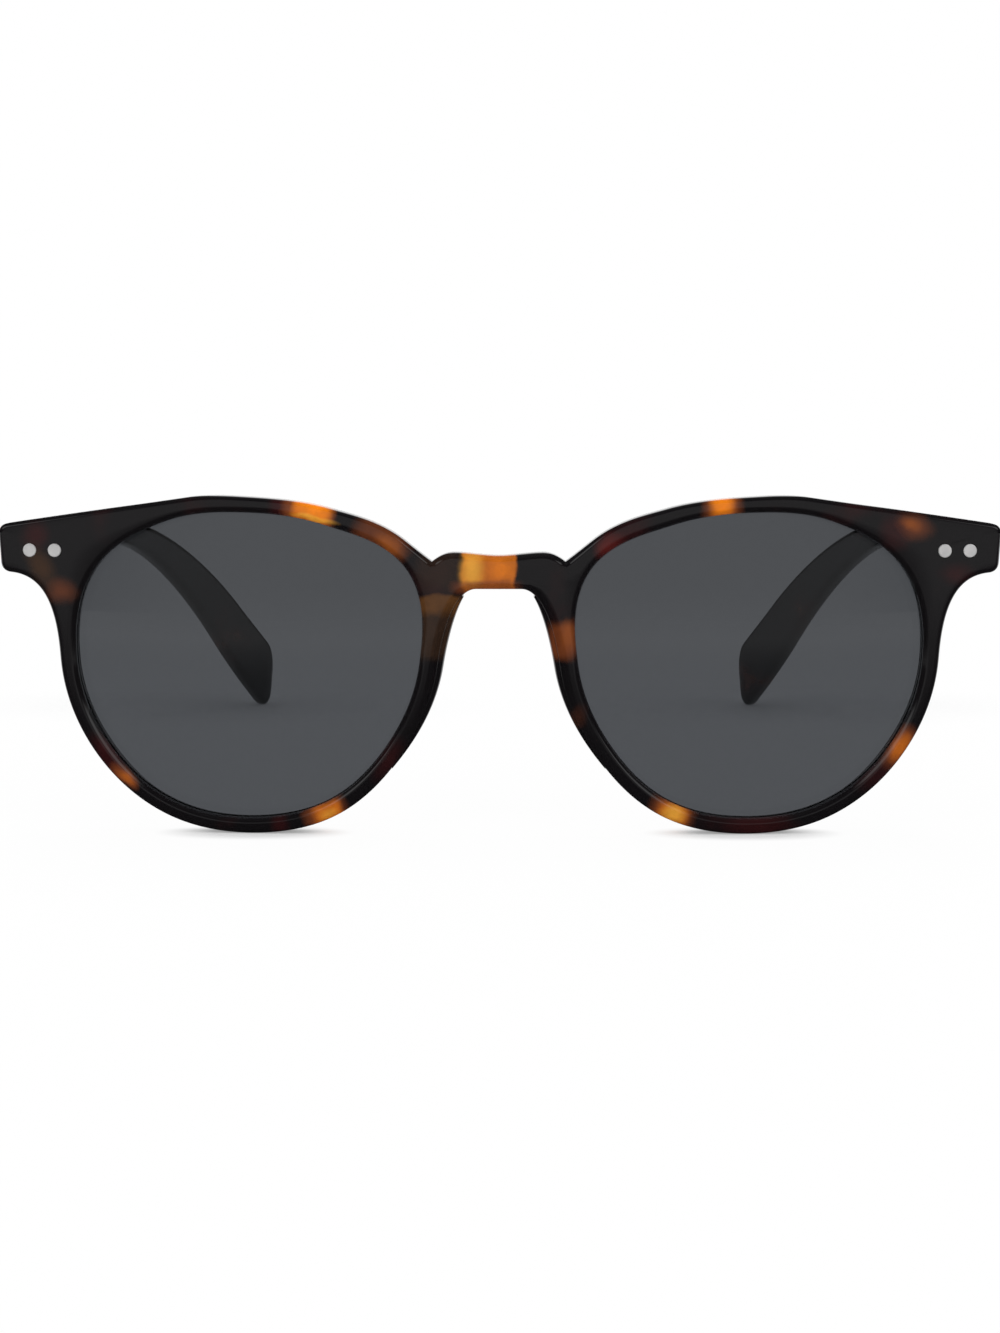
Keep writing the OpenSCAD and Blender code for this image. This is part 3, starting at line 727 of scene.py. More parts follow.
@dataclass(frozen=True)
class LensFinish(Finish):
    """A polished sun lens with a neutral grey tint, which darkens between two heights in metres."""

    tint: Triple = (0.083, 0.088, 0.096)
    shade: float = 0.80
    shade_from: float = 0.018
    shade_to: float = 0.038
    ior: float = 1.5

    def wires(self, g: Graph, place: Socket, effects: Effects) -> Wires:
        """Lays the tint with its soft cloud.

        Args:
            g: The material's graph.
            place: The point's own place on its piece.
            effects: The shared node groups, not used here.

        Returns:
            What feeds each of the shader's inputs.
        """
        high = g.add("ShaderNodeSeparateXYZ", {0: place}).outputs["Z"]
        cloud = g.maths("MULTIPLY", g.noise(place, 45.0), 0.1)
        depth = g.maths("ADD", g.ramp(high, self.shade_from, self.shade_to), cloud)
        return {
            "Base Color": g.blend(depth, self.tint, tuple(self.shade * c for c in self.tint)),
            "Roughness": 0.0,
            "IOR": self.ior,
            "Transmission Weight": 1.0,
        }


@dataclass(frozen=True)
class MetalFinish(Finish):
    """Brushed or turned metal."""

    light: Triple
    dark: Triple
    along: Triple = (1.0, 1.0, 1.0)
    gloss: float = 0.28
    relief: float = 0.12
    metallic: float = 1.0
    relief_depth: float = 0.00005
    wear: float = 0.6
    bare: Triple = (0.86, 0.86, 0.85)

    def wires(self, g: Graph, place: Socket, effects: Effects) -> Wires:
        """Lays the grain, its relief and the bare metal of worn edges.

        Args:
            g: The material's graph.
            place: The point's own place on its piece.
            effects: The shared node groups.

        Returns:
            What feeds each of the shader's inputs.
        """
        levels = {"Along": self.along, "Light": self.light, "Dark": self.dark, "Gloss": self.gloss}
        grain = g.add("ShaderNodeGroup", {"Vector": place, **levels}, node_tree=effects.brushed).outputs
        wear = g.add("ShaderNodeGroup", {"Vector": place, "Amount": self.wear}, node_tree=effects.wear)
        relief = {"Height": grain["Height"], "Strength": self.relief, "Distance": self.relief_depth}
        return {
            "Base Color": g.blend(wear.outputs["Mask"], grain["Color"], self.bare),
            "Metallic": self.metallic,
            "Roughness": grain["Roughness"],
            "Normal": g.add("ShaderNodeBump", relief).outputs[0],
        }


def dress(piece: Piece, material: Material) -> None:
    """Gives every face of a piece one material."""
    piece.data.materials.clear()
    piece.data.materials.append(material)


def settle(piece: Piece, material: Material, body: str, node: str) -> None:
    """Dresses a finished piece and puts it on its body in place of its CAD node.

    Args:
        piece: The piece.
        material: Its material.
        body: The CAD body that carries it.
        node: The CAD node that it stands for.
    """
    dress(piece, material)
    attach(piece, body)
    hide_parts(node)
    log.info("%s: %d faces on %s", piece.name, len(piece.data.polygons), body)


# Sizes that several sub-assemblies share


@dataclass(frozen=True)
class LensOpening:
    """The opening of one lens, about the lens centre, in the plane of the front."""

    width: float = 50.4
    height: float = 43.6
    spacing: float = 70.8
    form: tuple[float, ...] = (
        0.981, 1.017, 0.915, 0.842, 0.89, 1.036, 0.96, 0.903, 0.899, 0.882, 0.909, 0.938,
    )
    rim: float = 2.65
    brow_rim: float = 2.15
    brow_angle: float = 97.0
    brow_spread: float = 25.0
    low_rim: float = 2.15
    low_angle: float = 300.0
    low_spread: float = 80.0
    lowest_from: int = 250
    lowest_to: int = 291

    def radius(self, angle: Number) -> Number:
        """Radius of the opening over half its width.

        Args:
            angle: Degrees from the temple side upwards.

        Returns:
            The radius at each angle.
        """
        form = np.array(self.form)
        count = len(form)
        u = (np.asarray(angle, float) % 360) * count / 360
        i = np.floor(u).astype(int)
        return spline([form[(i + k) % count] for k in (-1, 0, 1, 2)], u - i)

    def stretch(self) -> float:
        """The share by which heights are scaled to reach the opening's height."""
        a = np.arange(0, 360, 3)
        return self.height / (self.width / 2 * np.ptp(self.radius(a) * np.sin(np.radians(a))))

    def point(self, angle: Number) -> Array:
        """Edge points of the opening."""
        r, turn = self.radius(angle) * self.width / 2, np.radians(angle)
        return np.stack([r * np.cos(turn), r * np.sin(turn) * self.stretch()], axis=-1)

    def way(self, angle: Number) -> Array:
        """Direction of the edge, clockwise."""
        return unit(self.point(angle - 0.5) - self.point(angle + 0.5))

    def normal(self, angle: Number) -> Array:
        """Direction away from the opening."""
        way = self.way(angle)
        return np.stack([-way[..., 1], way[..., 0]], axis=-1)

    def rim_point(self, angle: Number) -> Array:
        """Outer edge of a plain stretch of rim.

        Args:
            angle: Degrees from the temple side upwards.

        Returns:
            The edge's point at each angle.
        """
        at_brow = (self.brow_rim - self.rim) * bump(angle, self.brow_angle, self.brow_spread)
        below = (self.low_rim - self.rim) * bump(angle, self.low_angle, self.low_spread)
        width = self.rim + at_brow + below
        return self.point(angle) + np.asarray(width)[..., None] * self.normal(angle)

    @property
    def centre(self) -> Array:
        """Centre of the opening on the +X side, as x and z."""
        lowest = self.rim_point(np.arange(self.lowest_from, self.lowest_to))[:, 1].min()
        return np.array([self.spacing / 2, -lowest])


@dataclass(frozen=True)
class FrontPlan:
    """Places along Y that the front, the lenses and the hinges share."""

    opening: LensOpening = LensOpening()
    middle: float = field(default_factory=lambda: -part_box("front_frame")[0].y / MM)
    width: float = 142.0
    wrap: float = 700.0
    thickness: float = 4.0
    end_thickness: float = 4.4
    flat_from: float = 49.0
    flat_to: float = 57.0
    end_rise: float = 19.4
    end_height: float = 6.6
    hinge_drop: float = 0.25
    hinge_in: float = 6.2

    def front_y(self, x: Number) -> Number:
        """The front face."""
        return x * x / (2 * self.wrap)

    def back_y(self, x: Number) -> Number:
        """The back face, which turns flat under the hinges."""
        share = smooth((abs(x) - self.flat_from) / (self.flat_to - self.flat_from))
        return mix(self.front_y(x) + self.thickness, self.butt_y, share)

    @property
    def hinge_x(self) -> float:
        """Distance of a hinge pin from the middle."""
        return self.width / 2 - self.hinge_in

    @property
    def butt_y(self) -> float:
        """The flat back of an end piece, which the temple meets."""
        return self.front_y(self.hinge_x) + self.end_thickness

    @property
    def hinge_z(self) -> float:
        """Height of the hinge's middle."""
        return float(self.opening.centre[1]) + self.end_rise - self.end_height / 2 - self.hinge_drop

    def placed(self, points: Array, side: Side = Side.LEFT) -> Array:
        """Moves points of the +X side into the part's own frame, on either side."""
        return (np.asarray(points) - self.middle * Y_WAY) * [side.value, 1.0, 1.0]


# Sub-assemblies


@dataclass(frozen=True)
class Lenses:
    """Two spherical sun lenses, each seated in its rim's groove."""

    plan: FrontPlan
    finish: Material
    curve: float = 150.0
    thickness: float = 1.8
    dome: float = 0.4
    seat: float = 0.65
    step: float = 2.0
    rings: tuple[float, ...] = (0.02, 0.12, 0.25, 0.4, 0.55, 0.7, 0.82, 0.91, 0.965, 1.0)

    def face(self, flat: Array, back: bool, gap: float = 0.0) -> Array:
        """Points over a face of the lens on the +X side.

        Args:
            flat: Points about the lens centre, as x and z.
            back: True for the back face.
            gap: How far outside the face the points lie.

        Returns:
            The points in space, with Y from the front's apex.
        """
        centre = self.plan.opening.centre
        x, z = (flat + centre).T
        tilt = math.atan(centre[0] / self.plan.wrap)
        mid_x = centre[0] - self.curve * math.sin(tilt)
        mid_y = self.plan.front_y(centre[0]) - self.dome + self.curve * math.cos(tilt)
        r = self.curve - (self.thickness if back else 0.0)
        y = mid_y - np.sqrt(r * r - (x - mid_x) ** 2 - (z - centre[1]) ** 2)
        return np.stack([x, y + (gap if back else -gap), z], axis=1)

    def build(self, side: Side) -> None:
        """Builds and dresses one lens.

        Args:
            side: The wearer's side.
        """
        o = self.plan.opening
        a = np.arange(0, 360, self.step)
        edge = o.point(a) + self.seat * o.normal(a)
        rings = [self.face(edge * s, False) for s in self.rings]
        rings += [self.face(edge * s, True) for s in self.rings[::-1]]
        lens = make_solid(f"sun_lens_{side.word}", self.plan.placed(np.array(rings), side), LENS_SHARP)
        settle(lens, self.finish, "front", f"lens_{side.word}")


@dataclass(frozen=True)
class Bends:
    """Angles of the lens edge at which the front's outline changes, and lengths of its curves' handles."""

    brow: float = 70.0
    end_top: float = 37.0
    end_mid: float = 31.0
    end_low: float = 27.0
    under: float = 2.0
    nasal: float = 180.0
    arch: float = 157.0
    plane_low: float = 155.8
    plane_top: float = 155.2
    shoulder: float = 154.5
    notch: float = 152.0
    rim_again: float = 143.0
    brow_pull: float = 11.0
    end_top_pull: float = 12.0
    end_low_pull: float = 4.5
    under_pull: float = 7.5
    nasal_pull: float = 5.5
    arch_pull: Spot = (2.8, 0.0)
    plane_pull: Spot = (2.0, 0.0)
    shoulder_in_pull: Spot = (-1.8, 0.0)
    shoulder_out_pull: Spot = (1.2, 0.0)
    notch_in_pull: Spot = (-1.1, 0.85)
    notch_out_pull: Spot = (0.9, 0.65)
    rim_again_pull: float = 1.0


@dataclass
class Front:
    """The acetate front with both rims, the bridge and the end pieces, and the nose pads on it."""

    plan: FrontPlan
    lenses: Lenses
    finish: Material
    bends: Bends = Bends()
    bevel_w: float = 0.6
    bevel_d: float = 0.55
    bevel_soft: float = 0.16
    bevel_bend: float = 0.7
    lip_share: float = 0.6
    edge_r: float = 0.7
    bridge_rise: float = 15.25
    bridge_h: float = 4.7
    half_gap: float = 10.2
    arch_share: float = 0.3137
    shoulder_share: float = 0.608
    shoulder_rise: float = 0.45
    notch_share: float = 0.9214
    notch_d: float = 1.3
    end_out: float = 0.1
    end_lean: float = 0.35
    end_slope: float = -8.5
    end_corner: float = 1.4
    end_in_way: Spot = (-1.0, -0.1)
    groove_depth: float = 0.75
    seat_gap: float = 0.05
    back_edge_r: float = 0.4
    back_bend: float = 0.5
    bevel_steps: int = 3
    back_steps: int = 4
    edge_steps: int = 6
    nasal_edge_r: float = 1.15
    nasal_spread: float = 28.0
    round_share: float = 0.3
    chamfer_share: float = 0.46
    detail: int = 4
    face_shares: Triple = (0.25, 0.5, 0.75)
    pad_depth: float = 4.6
    pad_swell: float = 1.0
    pad_foot: float = 2.3
    pad_gap: float = 0.03
    pad_steps: int = 12
    pad_skip: int = 4
    pad_soft: int = 8
    pad_fine: int = 29
    pad_fade_from: float = 0.04
    pad_fade_to: float = 0.97
    pad_fade_power: float = 0.7
    pad_top_swell: float = 0.35
    pad_foot_spare: float = 0.4

    def __post_init__(self) -> None:
        """Lays the outline of the +X half round its lens, paired with angles of the lens edge."""
        o, plan, b, n = self.plan.opening, self.plan, self.bends, self.detail

        def from_middle(x: float, rise: float) -> Array:
            """A point given from the front's middle, about the lens centre."""
            return np.array([x - o.centre[0], rise])

        def rim_run(start: float, end: float, count: int) -> Array:
            """A plain stretch of rim."""
            return o.rim_point(mix(start, end, np.arange(count) / count))

        def handle(a: float, pull: float) -> list[Array]:
            """The rim's point at an angle, and the handle of a curve that starts there."""
            return [o.rim_point(a), o.rim_point(a) + pull * o.way(a)]

        end_x = plan.width / 2 + self.end_out
        end_top = from_middle(end_x, plan.end_rise)
        end_low = from_middle(end_x - self.end_lean, plan.end_rise - plan.end_height)
        slope = math.radians(self.end_slope)
        end_way = np.array([math.cos(slope), math.sin(slope)])
        end_down, end_in = unit(end_low - end_top), unit(np.array(self.end_in_way))
        brow_end, under_start = end_top - self.end_corner * end_way, end_low + self.end_corner * end_in
        under = self.bridge_rise - self.bridge_h
        arch, plane_low = from_middle(self.arch_share * self.half_gap, under), from_middle(0, under)
        plane_top = from_middle(0, self.bridge_rise)
        high = self.bridge_rise + self.shoulder_rise
        shoulder = from_middle(self.shoulder_share * self.half_gap, high)
        notch = from_middle(self.notch_share * self.half_gap, high - self.notch_d)

        brow = handle(b.brow, b.brow_pull) + [brow_end - b.end_top_pull * end_way, brow_end]
        below = [under_start, under_start + b.end_low_pull * end_in, *handle(b.under, -b.under_pull)[::-1]]
        flank = handle(b.nasal, b.nasal_pull) + [arch + b.arch_pull, arch]
        top = [plane_top, plane_top + b.plane_pull, shoulder + b.shoulder_in_pull, shoulder]
        roll = [shoulder, shoulder + b.shoulder_out_pull, notch + b.notch_in_pull, notch]
        rise = [notch, notch + b.notch_out_pull, *handle(b.rim_again, -b.rim_again_pull)[::-1]]
        # The wall's stations stay clear of the roundings at its ends, or the face folds over there
        wall_share = bump((b.plane_low + b.plane_top) / 2, b.nasal, self.nasal_spread)
        rounding = np.array([0, mix(self.edge_r, self.nasal_edge_r, wall_share)])
        wall = np.vstack([plane_low, line_run(plane_low + rounding, plane_top - rounding, 3 * n)[1:]])
        # Each stretch of the outline, with the angles of the lens edge at its ends
        stretches = [
            (bezier_run(brow, 13 * n), b.brow, b.end_top),
            (corner_run(end_top, end_way, end_down, self.end_corner, 3 * n), b.end_top, b.end_mid),
            (corner_run(end_low, end_down, end_in, self.end_corner, 3 * n), b.end_mid, b.end_low),
            (bezier_run(below, 8 * n)[1:], b.end_low, b.under),
            (rim_run(b.under, -b.nasal, 30 * n), b.under, -b.nasal),
            (bezier_run(flank, 8 * n), b.nasal, b.arch),
            (line_run(arch, plane_low, 2 * n), b.arch, b.plane_low),
        ]
        self.plane_first = sum(len(points) for points, _, _ in stretches)
        self.plane_last = self.plane_first + len(wall)
        stretches += [
            (wall, b.plane_low, b.plane_top),
            (bezier_run(top, 3 * n), b.plane_top, b.shoulder),
            (bezier_run(roll, 4 * n), b.shoulder, b.notch),
            (bezier_run(rise, 2 * n), b.notch, b.rim_again),
            (rim_run(b.rim_again, b.brow, 12 * n), b.rim_again, b.brow),
        ]
        self.edge = np.vstack([points for points, _, _ in stretches])
        self.angles = np.concatenate([mix(a, z, np.arange(len(run)) / len(run)) for run, a, z in stretches])
        share = bump(self.angles, b.nasal, self.nasal_spread)
        self.radius = mix(self.edge_r, self.nasal_edge_r, share)
        self.cut_share = mix(self.round_share, self.chamfer_share, share)
        self.out = self.normals()

    def normals(self) -> Array:
        """Outward direction of the outline at each station.

        Returns:
            The directions, which are zero across the middle plane.
        """
        way = unit(np.roll(self.edge, -1, axis=0) - np.roll(self.edge, 1, axis=0))
        m = np.stack([-way[:, 1], way[:, 0]], axis=1)
        m[self.plane_first:self.plane_last + 1] = 0
        m[self.plane_first] = (0, -1)
        m[self.plane_last] = (0, 1)
        return m

    def at(self, flat: Array, dy: Number, back: bool = False) -> Array:
        """Points of the front or back face.

        Args:
            flat: Points about the lens centre.
            dy: How far they lie behind that face.
            back: True for the back face.

        Returns:
            The points in space, with Y from the front's apex.
        """
        x, z = (flat + self.plan.opening.centre).T
        return np.stack([x, (self.plan.back_y(x) if back else self.plan.front_y(x)) + dy, z], axis=1)

    def sections(self) -> list[Array]:
        """Lays the front's section: bevel, groove, back face, outer edge and front face.

        Returns:
            The section's rows, with one point for each station in each.
        """
        o, q, r, at = self.plan.opening, self.edge, self.radius, self.at
        p, n = o.point(self.angles), o.normal(self.angles)
        bevel, deep = p + (self.bevel_w + self.bevel_soft) * n, p + self.groove_depth * n
        ridge, lip = at(p + self.bevel_w * n, 0), at(p, self.bevel_d)
        soft_end = mix(ridge, lip, self.bevel_soft / self.bevel_w)
        rows = conic_edge(at(bevel, 0), ridge, soft_end, self.bevel_bend, self.bevel_steps)
        rows += [mix(ridge, lip, self.lip_share), lip]
        groove = ((p, False), (deep, False), (deep, True), (p, True))
        rows += [self.lenses.face(flat, back, self.seat_gap) for flat, back in groove]
        start, end = p + self.back_edge_r * n, q - r[:, None] * self.out
        inner = (at(p, -self.back_edge_r, True), at(p, 0, True), at(start, 0, True))
        rows += conic_edge(*inner, self.back_bend, self.back_steps)
        rows += [at(mix(start, end, t), 0, True) for t in self.face_shares]
        self.outer_row = len(rows)
        weight = 0.5 / self.cut_share - 1
        rows += conic_edge(at(end, 0, True), at(q, 0, True), at(q, -r, True), weight, self.edge_steps)
        rows += conic_edge(at(q, r), at(q, 0), at(end, 0), weight, self.edge_steps)
        self.last_outer_row = len(rows) - 1
        rows += [at(mix(end, bevel, t), 0) for t in self.face_shares]
        return rows

    def build(self, cutters: Sequence[Piece]) -> None:
        """Builds and dresses the front.

        Args:
            cutters: Shapes of its leaf pockets and rivet bores.
        """
        rows = self.sections()
        points = np.stack(rows, axis=1).reshape(-1, 3)

        def in_joint(i: int, j: int) -> bool:
            """Is this face one of the walls that the two halves would share?"""
            return self.plane_first <= i < self.plane_last and self.outer_row <= j < self.last_outer_row

        faces = grid_faces(len(self.edge), len(rows), True, in_joint)
        faces += [tuple(k + len(points) for k in reversed(f)) for f in faces]
        both = np.vstack([self.plan.placed(points, side) for side in Side])
        piece = make_piece("front_acetate", both, faces, FRONT_SHARP)
        cut(piece, cutters, FRONT_SHARP)
        settle(piece, self.finish, "front", "front_frame")

    def pad_rings(self) -> Array:
        """Lays the nose pad's rings, from its lower end to its upper end.

        Returns:
            One ring after another, each with its soft outer side filled in.
        """
        back_count = np.arange(self.pad_steps * self.detail, -1, -1)
        picks = self.plane_first - self.pad_skip * self.detail - back_count
        u = back_count / back_count[0]
        fade = np.sin(math.pi * mix(self.pad_fade_from, self.pad_fade_to, u)) ** self.pad_fade_power
        swell, depth = self.pad_swell * mix(1, self.pad_top_swell, u) * fade, self.pad_depth * fade
        q, m, r, g = self.edge[picks], self.out[picks], self.radius[picks], self.pad_gap
        e = self.cut_share[picks] * r
        foot = mix(r + self.pad_foot_spare, self.pad_foot, fade)
        # Each corner: how far outside the rim's edge, how far behind a face, and True for the back face
        corners = (
            (g, r, False),
            (g + swell, r + 0.9 * swell + 0.1, False),
            (g + 0.9 * swell, -0.4, True),
            (g + 0.3 * swell - 0.25 * depth, 0.7 * depth, True),
            (-0.36 * depth, g + 0.97 * depth, True),
            (-0.4 * depth - 0.3, g + depth, True),
            (-foot - 0.05 * depth, g + 0.9 * depth, True),
            (-foot, g, True),
            (-r, g, True),
            (g - e, g - e, True),
            (g, -r, True),
        )
        rows = []
        for out, dy, back in corners:
            rows.append(self.at(q + np.broadcast_to(out, r.shape)[:, None] * m, dy, back))
        t = np.linspace(0, self.pad_soft - 1, self.pad_fine)
        i = np.minimum(t.astype(int), self.pad_soft - 2)
        rings = []
        for ring in np.stack(rows, axis=1):
            outer = ring[:self.pad_soft]
            run = np.vstack([2 * outer[0] - outer[1], outer, 2 * outer[-1] - outer[-2]])
            curve = spline([run[i + k] for k in range(4)], (t - i)[:, None])
            rings.append(np.vstack([curve, ring[self.pad_soft:]]))
        return np.array(rings)

    def build_pad(self, side: Side) -> None:
        """Builds and dresses one nose pad.

        Args:
            side: The wearer's side.
        """
        rings = self.plan.placed(self.pad_rings(), side)
        pad = make_solid(f"nose_pad_{side.word}_acetate", rings, FRONT_SHARP)
        settle(pad, self.finish, "front", f"nose_pad_{side.word}")


@dataclass
class Temples:
    """Two acetate temples with their drop behind the ear."""

    plan: FrontPlan
    finish: Material
    length: float = 140.0
    root_h: float = 6.6
    slim_h: float = 4.2
    tip_h: float = 10.4
    root_t: float = 3.9
    slim_t: float = 2.9
    drop_start: float = 74.0
    drop_r: float = 74.0
    drop_angle: float = 43.0
    curl_start: float = 87.0
    curl_rate: float = 0.385
    butt_gap: float = 0.12
    knuckle_r: float = 1.4
    leaf_gap: float = 0.3
    corner_r: float = 1.05
    corner_share: float = 0.47
    tip_round: float = 3.4
    tip_power: float = 2.6
    tip_end_share: float = 0.2
    tip_thin: float = 0.55
    tip_slant: float = 0.7
    tip_slant_len: float = 17.0
    taper_from: float = 12.0
    taper: float = 42.0
    line_step: float = 0.5
    body_rings: int = 95
    tip_rings: int = 17

    def __post_init__(self) -> None:
        """Lays the centre line and the rings, and finds the lean that brings the tips to the floor."""
        self.drop_from = self.length - self.drop_start
        self.curl_from = self.length - self.curl_start
        self.drop_len = self.drop_r * math.radians(self.drop_angle)
        s = (np.arange(math.ceil(self.length / self.line_step)) + 0.5) * self.line_step
        start = np.array([self.in_x + self.root_t / 2, self.plan.butt_y + self.butt_gap, self.plan.hinge_z])
        self.line = start + np.vstack([np.zeros(3), np.cumsum(self.line_step * self.way(s), axis=0)])
        body = np.linspace(0, self.length - self.tip_round, self.body_rings + 1)[:-1]
        turn = np.radians(np.linspace(0, 90, self.tip_rings))
        tip = self.length - self.tip_round * (1 - np.sin(turn))
        self.rings = np.array([self.ring(v) for v in np.concatenate([body, tip])])
        far = self.rings.reshape(-1, 3)
        far = far[far[:, 1] > self.plan.butt_y + self.drop_from]
        self.lean = float((far[:, 2] / (far[:, 1] - self.plan.butt_y)).min())

    @property
    def in_x(self) -> float:
        """The temple's inner face at the hinge."""
        return self.plan.hinge_x + self.knuckle_r + self.leaf_gap

    def turns(self, s: Number) -> tuple[Number, Number]:
        """Turns of the centre line.

        Args:
            s: Length along it.

        Returns:
            Its inward and its downward turn, in radians.
        """
        inward = self.curl_rate * np.maximum(0, s - self.curl_from)
        down = self.drop_angle * np.clip((s - self.drop_from) / self.drop_len, 0, 1)
        return np.radians(inward), np.radians(down)

    def way(self, s: Number) -> Array:
        """Direction of the centre line."""
        a, d = self.turns(s)
        return np.stack([-np.sin(a) * np.cos(d), np.cos(a) * np.cos(d), -np.sin(d)], axis=-1)

    def thick(self, s: float) -> float:
        """Thickness before the tip's rounding."""
        return float(mix(self.root_t, self.slim_t, smooth((s - self.taper_from) / self.taper)))

    def high(self, s: float) -> float:
        """Height before the tip's rounding.

        Args:
            s: Length along the centre line.

        Returns:
            The height.
        """
        rest = (s - self.drop_from) / (self.drop_start - self.tip_round)
        low = mix(self.root_h, self.slim_h, smooth(s / self.drop_from))
        return float(low if rest < 0 else mix(self.slim_h, self.tip_h, smooth(rest)))

    def ring(self, s: float) -> Array:
        """Lays a ring of the temple before it leans.

        Args:
            s: Length along the centre line.

        Returns:
            The ring's points.
        """
        u = max(0.0, (s - self.length + self.tip_round) / self.tip_round)
        share = max(self.tip_end_share**self.tip_power, 1 - u**self.tip_power) ** (1 / self.tip_power)
        h, t = self.high(s) * share, self.thick(s) * mix(self.tip_thin, 1, share)
        flat = rounded_rect(t, h, min(self.corner_r, self.corner_share * h, self.corner_share * t))
        a, d = self.turns(s)
        out = np.array([math.cos(a), math.sin(a), 0.0])
        up = np.array([-math.sin(a) * math.sin(d), math.cos(a) * math.sin(d), math.cos(d)])
        k = s / self.line_step
        i = int(min(len(self.line) - 2, math.floor(k)))
        middle = mix(self.line[i], self.line[i + 1], k - i) + (self.root_t - self.thick(s)) / 2 * out
        slant = self.tip_slant * float(smooth((s - self.length + self.tip_slant_len) / self.tip_slant_len))
        return middle + flat[:, :1] * out + flat[:, 1:] * (up - slant * self.way(s))

    def build(self, side: Side, cutters: Sequence[Piece]) -> None:
        """Builds and dresses one temple, which leans down with its distance behind the front.

        Args:
            side: The wearer's side.
            cutters: Shapes of its leaf pocket and rivet bores.
        """
        rings = self.rings.copy()
        rings[..., 2] -= self.lean * (rings[..., 1] - self.plan.butt_y)
        temple = make_solid(f"temple_{side.word}_acetate", self.plan.placed(rings, side), TEMPLE_SHARP)
        cut(temple, cutters, TEMPLE_SHARP)
        settle(temple, self.finish, f"{side.word}_temple", f"temple_{side.word}")


@dataclass(frozen=True)
class HingeHardware:
    """Sizes of the hinge leaves and rivets, for the pockets that hold them."""

    plan: FrontPlan
    temples: Temples
    leaf: Spot = (7.6, 4.8)
    leaf_t: float = 0.9
    leaf_in: float = 6.3
    leaf_corner: float = 0.8
    temple_leaf: Spot = (8.6, 4.6)
    temple_leaf_start: float = 0.5
    temple_rivet_start: float = 3.3
    rivet_pitch: float = 3.6
    head_r: float = 0.94
    head_t: float = 0.45
    head_proud: float = 0.12
    shank_r: float = 0.45
    gap: float = 0.03
    overshoot: float = 1.0
    bore_len: float = 8.0

    def pocket(self, middle: Array, along: Array, into: Array, leaf: Spot, side: Side) -> Piece:
        """Makes the shape of one leaf's pocket.

        Args:
            middle: Middle of the pocket's mouth, on the +X side.
            along: Direction of the leaf's length.
            into: Direction into the acetate, on the +X side.
            leaf: Length and height of the leaf.
            side: The wearer's side.

        Returns:
            The shape.
        """
        flat = rounded_rect(leaf[0] + 2 * self.gap, leaf[1] + 2 * self.gap, self.leaf_corner)
        ring = middle + flat[:, :1] * along + flat[:, 1:] * UP
        rings = np.array([ring - self.overshoot * into, ring + (self.leaf_t + self.gap) * into])
        return make_solid("pocket", self.plan.placed(rings, side))

    def bore(self, mouth: Array, into: Array, side: Side) -> Piece:
        """Makes the shape of one rivet's bore.

        Args:
            mouth: Where the rivet's axis meets the acetate's face, on the +X side.
            into: Direction into the acetate, on the +X side.
            side: The wearer's side.

        Returns:
            The shape.
        """
        start = self.plan.placed(mouth - (self.head_proud + self.overshoot) * into, side)
        head, shank = self.head_r + self.gap, self.shank_r + self.gap
        deep = self.overshoot + self.head_t + self.gap
        profile = [(0, head), (deep, head), (deep, shank), (self.bore_len, shank)]
        return turned("bore", start, into * [side.value, 1.0, 1.0], profile)

    def front_cutters(self) -> list[Piece]:
        """Makes the pockets and bores of both end pieces.

        Returns:
            Their shapes.
        """
        plan, made = self.plan, []
        x = plan.width / 2 - self.leaf_in
        middle = np.array([x, plan.butt_y, plan.hinge_z])
        for side in Side:
            made.append(self.pocket(middle, X_WAY, -Y_WAY, self.leaf, side))
            for rivet_x in (x - self.rivet_pitch / 2, x + self.rivet_pitch / 2):
                mouth = np.array([rivet_x, plan.front_y(rivet_x), plan.hinge_z])
                made.append(self.bore(mouth, Y_WAY, side))
        return made

    def temple_cutters(self, side: Side) -> list[Piece]:
        """Makes the pocket and bores of one temple.

        Args:
            side: The wearer's side.

        Returns:
            Their shapes.
        """
        t, z = self.temples, self.plan.hinge_z
        root = self.plan.butt_y + t.butt_gap
        middle = np.array([t.in_x, root + self.temple_leaf_start + self.temple_leaf[0] / 2, z])
        made = [self.pocket(middle, Y_WAY, X_WAY, self.temple_leaf, side)]
        for k in (0, 1):
            mouth = np.array([t.in_x + t.root_t, root + self.temple_rivet_start + k * self.rivet_pitch, z])
            made.append(self.bore(mouth, -X_WAY, side))
        return made


# The room


@dataclass(frozen=True)
class Lamp:
    """One soft lamp aimed at the object, with its sizes in metres. No reflection shows it."""

    name: str
    place: Triple
    size: Spot
    power: float
    aim_at: Triple = (0.0, 0.0, 0.02)

    def build(self) -> None:
        """Adds the lamp to the scene."""
        data = bpy.data.lights.new(self.name, "AREA")
        data.shape = "RECTANGLE"
        data.size, data.size_y = self.size
        data.energy = self.power
        lamp = bpy.data.objects.new(self.name, data)
        lamp.location = self.place
        look = Vector(self.aim_at) - Vector(self.place)
        lamp.rotation_euler = look.to_track_quat("-Z", "Y").to_euler()
        lamp.visible_glossy = False
        bpy.context.scene.collection.objects.link(lamp)


@dataclass(frozen=True)
class Shadow:
    """A stretch of floor that shows the object's shadow, by its middle and sizes in metres."""

    middle: Spot
    stretch: Spot
    inner: float
    outer: float
    white: float


